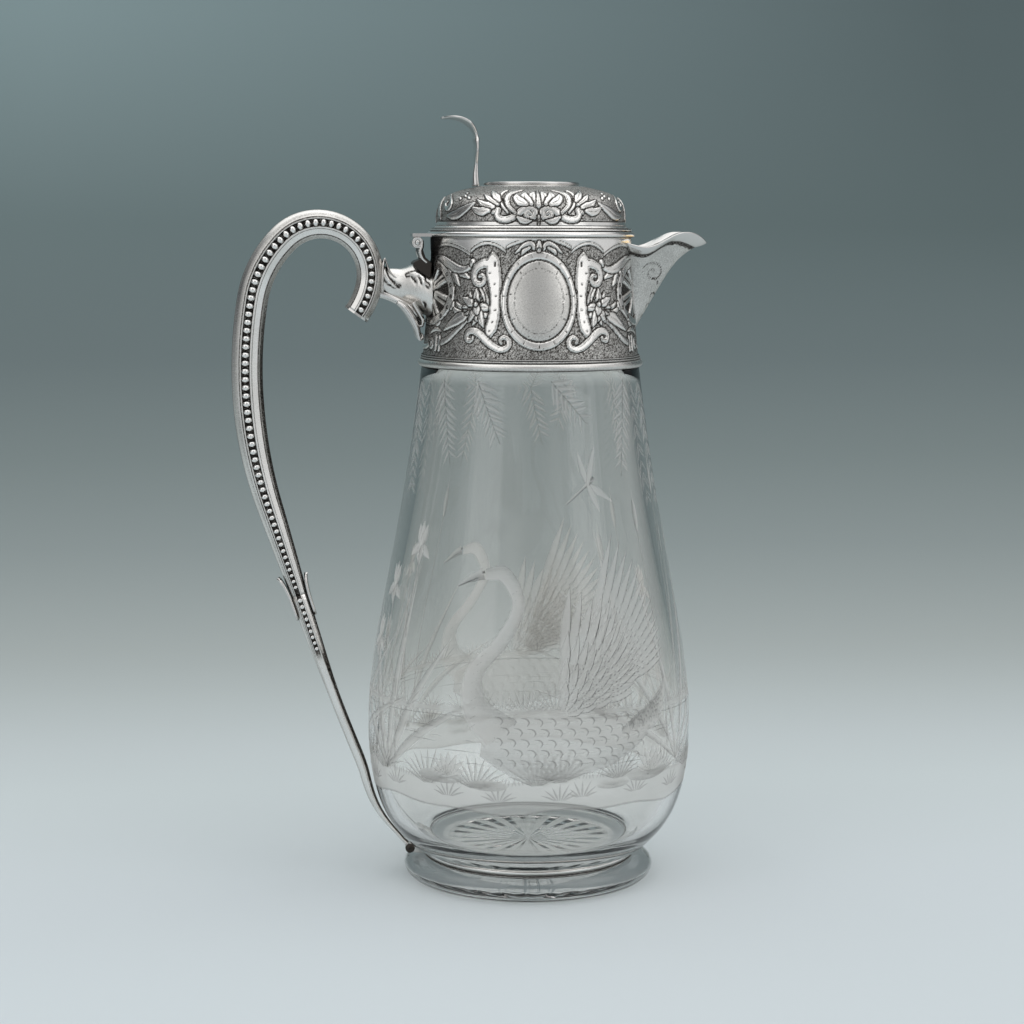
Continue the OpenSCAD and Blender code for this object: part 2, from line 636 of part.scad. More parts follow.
// The stem keeps clear of the bowl that it passes
function stem_place(t) =
    let(p = cubic(stem_curve, t),
        clear = bowl_r(p.y) + (stem_half(t) + air) * mix(1, 1.45, smooth((t - 0.4) / 0.4)))
    t > 0.97 ? p : [min(p.x, -clear), p.y];
stem_line = [for (i = [0:stem_rings]) stem_place(i / stem_rings)];

module handle_stem() {
    half = eye_w / 2;
    rings = [for (i = [0:stem_rings])
        let(t = i / stem_rings, dir = i == 0 ? [cos(tail_end[2]), sin(tail_end[2])] : tangent(stem_line, i),
            out = [dir.y, -dir.x], blend = smooth(t / 0.16))
        [for (k = [0:len(outline) - 1])
            let(a = 360 * (k + 0.5) / len(outline),
                round_q = [stem_half(t) * cos(a), stem_side(t) * sin(a)],
                s = outline[k] * tail_girth * (1 - blend) + round_q * blend)
            [stem_line[i].x + out.x * s.x, s.y, stem_line[i].y + out.y * s.x]]];
    color("silver")
        difference() {
            union() {
                bar(rings);
                rod(bolt_x, bolt_z, eye_d, -half, half);
            }
            rod(bolt_x, bolt_z, bolt_d + 2 * pin_gap, -half - 1, half + 1);
        }
}

// Two leaves that curl away from the handle's foot: [share along the handle's line, distance out]
module handle_leaves() {
    half = handle_t * tail_girth / 2 - 0.3;
    outer_edge = outer_w * tail_girth + seat;
    inner_edge = inner_w * tail_girth + seat;
    blade = leaf_blade_t;
    below = 9;
    outer_tip = [-8.2, 2.6];
    inner_tip = [-7, 2.1];
    function leaf(side, edge, tip) =
        [for (q = curve([[below, edge + blade * 0.6], [below / 2, edge + blade * 0.6],
                         [tip.x / 2, edge + blade * 0.9], [tip.x, edge + tip.y]], 8))
            let(p = carry([side * q.y, 0], ahead(tail_end, q.x))) [p.x, p.z]];
    color("silver") {
        plate(strip(leaf(1, outer_edge, outer_tip), blade), -half, half);
        plate(strip(leaf(-1, inner_edge, inner_tip), blade), -half, half);
    }
}

// Split ring in the groove, with a lug at each side of the stem's eye
lug_t = 1.6;
module foot_ring() {
    inner_r = groove_r + 2 * seat;
    bead_r = ring_h * 0.36;
    reed_r = ring_h * 0.14;
    split_w = 1;
    lug_y = eye_w / 2 + 2 * seat;
    lug = [[bolt_x, bolt_z - eye_d / 2], [1 - ring_r, ring_z + 0.2], [1 - ring_r, ring_z + ring_h - 0.3],
           [bolt_x + 1.2, bolt_z + eye_d / 2 - 0.5]];
    color("silver")
        difference() {
            union() {
                rotate_extrude()
                    polygon(concat([[inner_r, ring_z]],
                                   half_round(ring_r - bead_r + 0.3, ring_z + reed_r, reed_r, 8),
                                   half_round(ring_r - bead_r, ring_z + ring_h - bead_r, bead_r, 12),
                                   [[inner_r, ring_z + ring_h]]));
                for (from_y = [lug_y, -lug_y - lug_t]) {
                    plate(lug, from_y, from_y + lug_t);
                    rod(bolt_x, bolt_z, eye_d, from_y, from_y + lug_t);
                }
            }
            rod(bolt_x, bolt_z, bolt_d + 2 * pin_gap, -big / 2, big / 2);
            translate([-ring_r - 1, -split_w / 2, ring_z - 1]) cube([3 * bead_r + 2, split_w, ring_h + 2]);
        }
}

// Bolt along Y with its round head towards the front, and the nut behind
clamp_y = eye_w / 2 + lug_t + 4 * seat;
nut_t = 1.4;
module ring_bolt() {
    head_t = 1.1;
    color("dimgray") {
        rod(bolt_x, bolt_z, bolt_d, -clamp_y - head_t, clamp_y + nut_t);
        rod(bolt_x, bolt_z, eye_d, -clamp_y - head_t, -clamp_y);
    }
}

module ring_nut() {
    color("dimgray")
        difference() {
            translate([bolt_x, clamp_y, bolt_z])
                rotate([-90, 0, 0]) cylinder(d = eye_d, h = nut_t, $fn = 6);
            rod(bolt_x, bolt_z, bolt_d + 2 * pin_gap, -big / 2, big / 2);
        }
}

glass_body();
neck_cement();
collar_sleeve();
collar_moulding();
spout_body();
spout_lip();
hinge_bracket();
hinge_pin();
lid_hinge_leaf();
lid_flange();
lid_bezel();
lid_dome();
lid_disc();
thumbpiece();
handle_bracket();
handle_shell();
handle_end_cap();
bead_row_front();
bead_row_rear();
handle_stem();
handle_leaves();
foot_ring();
ring_bolt();
ring_nut();
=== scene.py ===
import math

import bmesh
import bpy
import numpy as np
from mathutils import Matrix, Quaternion, Vector
from mathutils.kdtree import KDTree


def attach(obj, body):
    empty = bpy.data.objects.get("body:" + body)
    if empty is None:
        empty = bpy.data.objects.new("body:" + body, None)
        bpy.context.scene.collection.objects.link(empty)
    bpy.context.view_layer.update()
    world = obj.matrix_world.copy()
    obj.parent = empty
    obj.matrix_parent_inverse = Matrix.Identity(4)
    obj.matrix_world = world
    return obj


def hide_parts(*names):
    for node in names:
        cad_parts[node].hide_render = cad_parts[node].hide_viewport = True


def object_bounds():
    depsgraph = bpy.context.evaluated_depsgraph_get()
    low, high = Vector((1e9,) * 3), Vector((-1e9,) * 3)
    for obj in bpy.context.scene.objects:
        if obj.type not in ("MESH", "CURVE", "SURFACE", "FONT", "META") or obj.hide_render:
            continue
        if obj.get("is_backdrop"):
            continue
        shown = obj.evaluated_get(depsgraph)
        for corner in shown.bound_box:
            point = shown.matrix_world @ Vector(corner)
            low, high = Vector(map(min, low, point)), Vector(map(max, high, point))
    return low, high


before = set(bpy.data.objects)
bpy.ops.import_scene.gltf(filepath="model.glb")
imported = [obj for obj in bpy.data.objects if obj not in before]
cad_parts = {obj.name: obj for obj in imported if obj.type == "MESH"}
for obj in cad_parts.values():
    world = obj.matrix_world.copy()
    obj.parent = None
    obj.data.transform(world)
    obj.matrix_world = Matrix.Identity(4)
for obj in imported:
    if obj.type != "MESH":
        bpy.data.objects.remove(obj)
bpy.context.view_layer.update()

# ------------------------------------------------------------------ table, lamps, camera
# The jug stands on a sweep of pale blue-grey paper whose colour darkens as it curves up behind it: painted
# shade.
# Two large soft lights glow left and right in front, and a broad lamp hangs above.
MM = 0.001
scene = bpy.context.scene
scene.view_settings.view_transform = "Standard"


def fill(tree, made, inputs):
    """Links a socket to each input that is given one, and sets a plain value on the others."""
    for key, value in inputs.items():
        if isinstance(value, bpy.types.NodeSocket):
            tree.links.new(value, made.inputs[key])
        else:
            made.inputs[key].default_value = value


def node(tree, kind, inputs=None, **settings):
    made = tree.nodes.new(kind)
    for key, value in settings.items():
        setattr(made, key, value)
    fill(tree, made, inputs or {})
    return made


def calc(tree, job, *values, **settings):
    return node(tree, "ShaderNodeMath", dict(enumerate(values)), operation=job, **settings).outputs[0]


def mapped(tree, value, low, high, start=0.0, stop=1.0, ease="LINEAR"):
    """Takes a value from between low and high to between start and stop."""
    made = node(tree, "ShaderNodeMapRange", {"Value": value, 1: low, 2: high, 3: start, 4: stop},
                interpolation_type=ease)
    return made.outputs[0]


def noise(tree, place, scale, detail):
    return node(tree, "ShaderNodeTexNoise", {"Vector": place, "Scale": scale,
                                             "Detail": detail}).outputs["Fac"]


def marked(tree, label):
    return node(tree, "ShaderNodeAttribute", attribute_name=label).outputs["Fac"]


def own_place(tree):
    return node(tree, "ShaderNodeTexCoord").outputs["Object"]


def ramp(tree, factor, stops):
    made = node(tree, "ShaderNodeValToRGB", {"Fac": factor})
    band = made.color_ramp
    while len(band.elements) < len(stops):
        band.elements.new(0.5)
    for element, (place, colour) in zip(band.elements, stops):
        element.position = place
        element.color = (*colour, 1)
    return made.outputs["Color"]


def material(name):
    made = bpy.data.materials.new(name)
    made.use_nodes = True
    tree = made.node_tree
    tree.nodes.clear()
    shader = node(tree, "ShaderNodeBsdfPrincipled")
    out = node(tree, "ShaderNodeOutputMaterial", {"Surface": shader.outputs["BSDF"]})
    return made, tree, shader, out


def sheet_of_points(name, points, finish, closed_cols=False, closed_rows=False, flip=False, fold=False):
    """A smooth mesh from rows by cols of points in millimetres. The last rows of a fold are its back."""
    rows, cols = points.shape[:2]
    r = np.arange(rows if closed_rows else rows - 1)[:, None]
    c = np.arange(cols if closed_cols else cols - 1)[None, :]
    r2, c2 = (r + 1) % rows, (c + 1) % cols
    quads = np.stack([r * cols + c, r * cols + c2, r2 * cols + c2, r2 * cols + c], -1).reshape(-1, 4)
    if fold:
        i = np.arange(rows // 2 - 1) * cols
        j = (rows - 1) * cols - i
        quads = np.vstack([quads, np.stack([i, i + cols, j - cols, j], -1),
                           np.stack([j, j - cols, i + cols, i], -1) + cols - 1])
    if flip:
        quads = quads[:, ::-1]
    return mesh_of(name, points.reshape(-1, 3), quads, finish)


def mesh_of(name, points, faces, finish, smooth=True):
    mesh = bpy.data.meshes.new(name)
    if isinstance(faces, np.ndarray):
        sides = faces.shape[1]
        mesh.vertices.add(len(points))
        mesh.vertices.foreach_set("co", (np.asarray(points, float) * MM).ravel())
        mesh.loops.add(faces.size)
        mesh.loops.foreach_set("vertex_index", faces.ravel())
        mesh.polygons.add(len(faces))
        mesh.polygons.foreach_set("loop_start", np.arange(len(faces)) * sides)
        mesh.update(calc_edges=True)
    else:
        mesh.from_pydata([tuple(p) for p in np.asarray(points, float) * MM], [], faces)
    mesh.polygons.foreach_set("use_smooth", [smooth] * len(mesh.polygons))
    mesh.validate()
    made = bpy.data.objects.new(name, mesh)
    scene.collection.objects.link(made)
    if finish:
        mesh.materials.append(finish)
    return made


def merge(piece):
    """Joins points that lie on one another."""
    work = bmesh.new()
    work.from_mesh(piece.data)
    bmesh.ops.remove_doubles(work, verts=work.verts, dist=1e-7)
    work.to_mesh(piece.data)
    work.free()


def put_values(piece, label, values):
    """Keeps one value for each point of the mesh, for a material to read."""
    spots = piece.data.attributes.new(label, "FLOAT", "POINT")
    spots.data.foreach_set("value", np.asarray(values).ravel().astype(np.float32))


def lengths_along(line):
    """How far along a line each of its points is."""
    return np.concatenate([[0], np.cumsum(np.linalg.norm(np.diff(line, axis=0), axis=1))])


def paper():
    made, tree, shader, out = material("backdrop_paper")
    run = marked(tree, "run")
    split = node(tree, "ShaderNodeSeparateXYZ", {"Vector": own_place(tree)})
    # painted shade: the paper's colour darkens up the sweep to a dark band high behind the jug
    tone = ramp(tree, run, [(0.0, (0.75, 0.82, 0.855)), (0.43, (0.665, 0.725, 0.75)),
                            (0.46, (0.65, 0.705, 0.73)), (0.51, (0.62, 0.68, 0.69)),
                            (0.535, (0.57, 0.622, 0.632)), (0.57, (0.49, 0.537, 0.537)),
                            (0.605, (0.40, 0.44, 0.435)), (0.66, (0.268, 0.308, 0.308)),
                            (0.7, (0.196, 0.235, 0.235)), (0.74, (0.143, 0.179, 0.183)),
                            (0.79, (0.118, 0.156, 0.159)), (0.86, (0.142, 0.19, 0.197))])
    # painted light and shade on the upper sweep: lighter towards the left, darker towards the right
    across = mapped(tree, split.outputs["X"], -0.28, 0.48, 1.45, 0.66)
    high = mapped(tree, run, 0.73, 0.88, ease="SMOOTHSTEP")
    side = node(tree, "ShaderNodeMixRGB", {"Fac": high, 1: (1, 1, 1, 1), 2: across})
    both = node(tree, "ShaderNodeMixRGB", {"Fac": 1.0, 1: tone, 2: side.outputs[0]}, blend_type="MULTIPLY")
    fill(tree, shader, {"Base Color": both.outputs[0], "Roughness": 0.9, "Specular IOR Level": 0.1})
    return made


# the sweep's side view: flat from in front of the jug to BEND_FROM behind it, then a quarter turn up
BEND_FROM, BEND_ROUND = 350, 900
bend = [(y, 0) for y in np.linspace(-1500, BEND_FROM, 30)]
bend += [(BEND_FROM + BEND_ROUND * math.sin(a), BEND_ROUND - BEND_ROUND * math.cos(a))
         for a in np.linspace(0.06, math.pi / 2, 40)]
bend += [(BEND_FROM + BEND_ROUND, 2600)]
sweep = sheet_of_points("paper_sweep", np.array([[(x, y, z) for x in (-1400, 1400)] for y, z in bend]),
                        paper())
run = lengths_along(bend) / 3200
put_values(sweep, "run", np.repeat(run, 2))
sweep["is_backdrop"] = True

world = bpy.data.worlds.new("studio")
scene.world = world
world.use_nodes = True
tree = world.node_tree
tree.nodes.clear()
outward = node(tree, "ShaderNodeTexCoord").outputs["Generated"]
split = node(tree, "ShaderNodeSeparateXYZ", {"Vector": outward})
height = mapped(tree, split.outputs["Z"], -1.0, 1.0)
dusk = ramp(tree, height, [(0.0, (0.5, 0.52, 0.53)), (0.4, (0.42, 0.43, 0.44)), (0.47, (0.32, 0.33, 0.34)),
                           (0.55, (0.09, 0.095, 0.1)), (0.6, (0.08, 0.085, 0.09)), (1.0, (0.4, 0.41, 0.42))])

# four soft windows at the given bearings (radians round from the front), with strength and half width
bearing = calc(tree, "ARCTAN2", split.outputs["X"], calc(tree, "MULTIPLY", split.outputs["Y"], -1.0))
light = 0.0
for way, strength, half in ((-0.8, 0.54, 0.45), (0.8, 0.48, 0.45), (0.0, 0.3, 0.4), (1.6, 0.5, 0.3)):
    aside = calc(tree, "ABSOLUTE", calc(tree, "SUBTRACT", bearing, way))
    above = calc(tree, "ABSOLUTE", calc(tree, "SUBTRACT", split.outputs["Z"], 0.28))
    soft = [mapped(tree, v, far, near, ease="SMOOTHSTEP")
            for v, far, near in ((aside, half * 1.6, half * 0.6), (above, 0.6, 0.2))]
    light = calc(tree, "ADD", light, calc(tree, "MULTIPLY", calc(tree, "MULTIPLY", *soft), strength))
glow = node(tree, "ShaderNodeMixRGB", {"Fac": 1.0, 1: dusk, 2: light}, blend_type="ADD")
sky = node(tree, "ShaderNodeBackground", {"Color": glow.outputs[0]})
node(tree, "ShaderNodeOutputWorld", {"Surface": sky.outputs[0]})


def lamp(name, place, size, power):
    light = bpy.data.lights.new(name, "AREA")
    light.shape = "RECTANGLE"
    light.size, light.size_y = size
    light.energy = power
    made = bpy.data.objects.new(name, light)
    scene.collection.objects.link(made)
    made.location = Vector(place)
    made.rotation_mode = "QUATERNION"
    made.rotation_quaternion = (Vector((0, 0, 0.14)) - made.location).to_track_quat("-Z", "Y")


lamp("left_lamp", (-1.0, -0.9, 0.7), (0.8, 0.9), 1.2)
lamp("right_lamp", (1.0, -0.9, 0.7), (0.8, 0.9), 1.6)
lamp("overhead_softbox", (0.0, 0.1, 1.6), (3.0, 2.4), 25)

eye = Vector((-86.8, -825.8, 240.6)) * MM
aim = Vector((-6.47, 0.68, 135.9)) * MM
camera = bpy.data.objects.new("camera", bpy.data.cameras.new("camera"))
scene.collection.objects.link(camera)
scene.camera = camera
camera.location = eye
camera.rotation_mode = "QUATERNION"
camera.rotation_quaternion = (aim - eye).to_track_quat("-Z", "Y") @ Quaternion((0, 0, 1), math.radians(0.2))
camera.data.sensor_width = 36
camera.data.lens = 79.49
camera.data.clip_start, camera.data.clip_end = 0.01, 20

# ------------------------------------------------------------------ glass vessel
# One blown and cut vessel of clear glass: a swelling bowl on a thick foot, with a groove
# between them for the silver ring, and a neck that stands inside the silver collar.
BELLY_R, BELLY_Z = 59.75, 56.5
SHOULDER_R, SHOULDER_Z = 39.9, 190.0
COLLAR_TOP_R, COLLAR_TOP_Z = 36.7, 236.9
GROOVE_R, RING_Z, RING_H = 38.4, 7.9, 2.9
UNDER_Z = RING_Z + RING_H + 0.2


def bezier(points, steps):
    t = np.linspace(0, 1, steps + 1)[:, None]
    a, b, c, d = [np.array(p, float) for p in points]
    return (1 - t) ** 3 * a + 3 * (1 - t) ** 2 * t * b + 3 * (1 - t) * t * t * c + t ** 3 * d


def joined(*lines):
    whole = list(lines[0])
    for line in lines[1:]:
        whole += list(line)[1:]
    return np.array(whole)


def smooth(t):
    t = np.clip(t, 0, 1)
    return t * t * (3 - 2 * t)


def round_points(r, angle, z):
    """Points at the angles round the jug's axis, from the front towards the spout."""
    return np.stack([r * np.sin(angle), -r * np.cos(angle), z], -1)


def lathe(name, profile, finish, steps=256, closed=True):
    """Turns a profile of (radius, height) points. One that isn't closed starts and ends on the axis."""
    profile = np.array(profile, float)
    angle = np.linspace(0, 2 * math.pi, steps, endpoint=False)[None, :]
    points = round_points(profile[:, :1] + 0 * angle, angle, profile[:, 1:] + 0 * angle)
    made = sheet_of_points(name, points, finish, closed_cols=True, closed_rows=closed)
    if not closed:
        merge(made)
    return made


def clear_glass():
    made, tree, shader, out = material("clear_glass")
    fill(tree, shader, {"Base Color": (0.998, 0.984, 0.968, 1), "Roughness": 0.0, "IOR": 1.5,
                        "Transmission Weight": 1.0})
    path = node(tree, "ShaderNodeLightPath")
    lit = node(tree, "ShaderNodeBsdfTransparent", {"Color": (0.93, 0.93, 0.92, 1)})
    mix = node(tree, "ShaderNodeMixShader", {0: path.outputs["Is Shadow Ray"], 1: shader.outputs[0],
                                             2: lit.outputs[0]})
    fill(tree, out, {"Surface": mix.outputs[0]})
    return made


def new_tree(name, sizes):
    tree = bpy.data.node_groups.new(name, "GeometryNodeTree")
    tree.interface.new_socket("Geometry", in_out="INPUT", socket_type="NodeSocketGeometry")
    for label, value in sizes.items():
        tree.interface.new_socket(label, in_out="INPUT", socket_type="NodeSocketFloat").default_value = value
    tree.interface.new_socket("Geometry", in_out="OUTPUT", socket_type="NodeSocketGeometry")
    return tree, node(tree, "NodeGroupInput")


def close_tree(tree, geometry, finish):
    shade = node(tree, "GeometryNodeSetShadeSmooth", {"Geometry": geometry})
    whole = node(tree, "GeometryNodeRealizeInstances", {"Geometry": shade.outputs[0]})
    coat = node(tree, "GeometryNodeSetMaterial", {"Geometry": whole.outputs[0], "Material": finish})
    node(tree, "NodeGroupOutput", {"Geometry": coat.outputs[0]})


def grown(name, base, tree, sizes):
    """The plain mesh that the tree makes of the base, which goes."""
    modifier = base.modifiers.new(name, "NODES")
    modifier.node_group = tree
    for item in tree.interface.items_tree:
        if item.in_out == "INPUT" and item.name in sizes:
            modifier[item.identifier] = float(sizes[item.name])
    mesh = bpy.data.meshes.new_from_object(base.evaluated_get(bpy.context.evaluated_depsgraph_get()))
    base.modifiers.clear()
    bpy.data.objects.remove(base)
    made = bpy.data.objects.new(name, mesh)
    scene.collection.objects.link(made)
    return made


def wheel_cuts(finish):
    """Flat flutes round the slope of the foot, and a star of V cuts under it."""
    tree, given = new_tree("wheel_cuts", {"Flutes": 16, "Flute depth": 1.0, "Star rays": 24,
                                          "Star depth": 1.4})
    split = node(tree, "ShaderNodeSeparateXYZ", {"Vector": node(tree,
                                                                "GeometryNodeInputPosition").outputs[0]})
    x, y, z = (calc(tree, "DIVIDE", split.outputs[k], MM) for k in range(3))

    def times(*values):
        product = values[0]
        for value in values[1:]:
            product = calc(tree, "MULTIPLY", product, value)
        return product

    def rise(value, low, high):
        return mapped(tree, value, low, high, ease="SMOOTHSTEP")

    def sector(count):
        """From -0.5 to 0.5 across each of the equal sectors round the axis."""
        turns = calc(tree, "DIVIDE", times(angle, count), 2 * math.pi)
        return calc(tree, "SUBTRACT", calc(tree, "FRACT", calc(tree, "ADD", turns, 100.5)), 0.5)

    angle = calc(tree, "ARCTAN2", x, times(y, -1.0))
    radius = calc(tree, "SQRT", calc(tree, "ADD", times(x, x), times(y, y)))
    flutes, rays = given.outputs["Flutes"], given.outputs["Star rays"]
    away = calc(tree, "COSINE", calc(tree, "DIVIDE", times(sector(flutes), 2 * math.pi), flutes))
    least = calc(tree, "COSINE", calc(tree, "DIVIDE", math.pi, flutes))
    flat = times(calc(tree, "SUBTRACT", away, least), 46.0)
    flat = times(flat, times(rise(z, 4.2, 5.6), rise(z, 7.9, 7.72)), given.outputs["Flute depth"])
    vee = calc(tree, "SUBTRACT", 1.0, times(calc(tree, "ABSOLUTE", sector(rays)), 2.0))
    vee = times(vee, times(rise(radius, 0.0, 14.0), rise(radius, 32.0, 29.0)))
    vee = times(vee, rise(z, 0.02, 0.01), given.outputs["Star depth"])
    drop = times(calc(tree, "SUBTRACT", vee, flat), MM)
    inward = times(calc(tree, "DIVIDE", times(flat, -0.5), radius), MM)
    move = node(tree, "ShaderNodeCombineXYZ", {"X": times(x, inward), "Y": times(y, inward), "Z": drop})
    moved = node(tree, "GeometryNodeSetPosition", {"Geometry": given.outputs["Geometry"],
                                                   "Offset": move.outputs[0]})
    close_tree(tree, moved.outputs[0], finish)
    return tree


underside = [[GROOVE_R, UNDER_Z], [GROOVE_R + 3, UNDER_Z + 0.1], [43.2, UNDER_Z + 0.5], [44.4, UNDER_Z + 1.6]]
belly_low = [[44.4, 12.6], [52.9, 20.6], [BELLY_R, BELLY_Z - 27], [BELLY_R, BELLY_Z]]
belly_high = [[BELLY_R, BELLY_Z], [BELLY_R, BELLY_Z + 35], [SHOULDER_R + 8.6, SHOULDER_Z - 71],
              [SHOULDER_R, SHOULDER_Z]]
bowl_line = joined(bezier(underside, 8), bezier(belly_low, 24), bezier(belly_high, 40))
collar_line = bezier([[SHOULDER_R, SHOULDER_Z], [39.5, 200], [36.0, 223.9], [COLLAR_TOP_R, COLLAR_TOP_Z]], 60)


def bowl_r(z):
    return np.interp(z, bowl_line[:, 1], bowl_line[:, 0])


def collar_r(z):
    return np.interp(z, collar_line[:, 1], collar_line[:, 0])


neck_out = [(collar_r(z) - 1.5, z) for z in (191.0, 201.0, 211.0)]
neck_in = [(collar_r(z) - 4.1, z) for z in (210.4, 201.0, 191.0)]
foot_line = [[r, 0] for r in (0, 1.5, 4, 8, 13, 18, 23, 28, 32, 35, 37, 38.5, 40.5, 42.5)]
foot_line += [[44.6, 0.5], [46.0, 1.9], [46.6, 4], [46.3, 5.2], [45.3, 6.1],
             [43.5, 6.9], [41.5, 7.35], [39.2, 7.65], [GROOVE_R, 7.7]]
inside_high = bezier([[36.3, 184], [43.2, 119], [56.15, 91.5], [56.15, BELLY_Z]], 30)
inside_low = bezier([[56.15, BELLY_Z], [56.15, 28.0], [46.0, 14], [30.0, 14]], 24)
vessel_line = np.vstack([foot_line, bowl_line, neck_out, neck_in, inside_high, inside_low[1:], [[0, 14]]])
glass = clear_glass()
blank = lathe("glass_blank", vessel_line, glass, steps=384, closed=False)
vessel = grown("cut_glass_vessel", blank, wheel_cuts(glass),
               {"Flutes": 16, "Flute depth": 0.1, "Star rays": 24, "Star depth": 0.3})
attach(vessel, "jug")
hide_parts("glass_body")


# ------------------------------------------------------------------ silver finishes
def silver(name, tint=(0.67, 0.655, 0.635), rough=0.15, marks=0.08):
    made, tree, shader, out = material(name)
    place = own_place(tree)
    cloud, fine = noise(tree, place, 70.0, 4.0), noise(tree, place, 900.0, 3.0)
    bump = node(tree, "ShaderNodeBump", {"Strength": 0.04, "Distance": 0.0001, "Height": fine})
    fill(tree, shader, {"Base Color": ramp(tree, cloud, [(0.3, tuple(v * 0.93 for v in tint)), (0.7, tint)]),
                        "Metallic": 1.0, "Roughness": mapped(tree, cloud, 0.3, 0.7, rough, rough + marks),
                        "Normal": bump.outputs[0]})
    return made


polished = silver("polished_silver")
# near-black silver: painted shade on the hinge arm, and the colour of the bolt and its nut
dark = silver("painted_shade_dark_silver", (0.06, 0.053, 0.048), 0.4)
for name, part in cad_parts.items():
    if name != "glass_body":
        part.data.materials.clear()
        part.data.materials.append(polished)


def plaster():
    made, tree, shader, out = material("neck_plaster")
    cloud = noise(tree, own_place(tree), 300.0, 4.0)
    bump = node(tree, "ShaderNodeBump", {"Strength": 0.3, "Distance": 0.0002, "Height": cloud})
    fill(tree, shader, {"Base Color": ramp(tree, cloud,
                                           [(0.3, (0.72, 0.70, 0.65)), (0.7, (0.82, 0.80, 0.76))]),
                        "Roughness": 0.9, "Normal": bump.outputs[0]})
    return made


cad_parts["neck_cement"].data.materials[0] = plaster()


def chased_silver():
    """Bright on the raised work, grey on the matted ground, nearly black in the outlines; the ground value
    also carries painted shade and painted reflections on the turned pieces, the collar by the hinge, the
    handle, the stem and the spout.
    """
    made, tree, shader, out = material("chased_silver")
    ground, place = marked(tree, "ground"), own_place(tree)
    worn = mapped(tree, noise(tree, place, 90.0, 1.0), 0.3, 0.7, -0.04, 0.05)
    level = calc(tree, "ADD", ground, worn, use_clamp=True)
    speckle = calc(tree, "MULTIPLY", calc(tree, "SUBTRACT", noise(tree, place, 2600.0, 2.0), 0.5), ground)
    level = calc(tree, "MULTIPLY_ADD", speckle, 2.2, level, use_clamp=True)
    tone = ramp(tree, level, [(0.0, (0.88, 0.865, 0.84)), (0.2, (0.70, 0.685, 0.655)),
                              (0.45, (0.44, 0.43, 0.41)), (0.72, (0.12, 0.11, 0.1)),
                              (1.0, (0.02, 0.018, 0.016))])
    fill(tree, shader, {"Base Color": tone, "Metallic": 1.0,
                        "Roughness": mapped(tree, level, 0.0, 0.6, 0.2, 0.55)})
    return made


# ------------------------------------------------------------------ silver collar
# A tapered sleeve of silver sheet, cemented on the glass neck. Ovals, straps, scrolls, vine leaves
# and wheels are chased on it from both sides over a matted ground, under a plain scalloped band.
def shared_out(widths, count):
    """The given widths, spread evenly over count places along a line."""
    widths = np.atleast_1d(widths)
    return np.interp(np.linspace(0, 1, count), np.linspace(0, 1, len(widths)), widths)


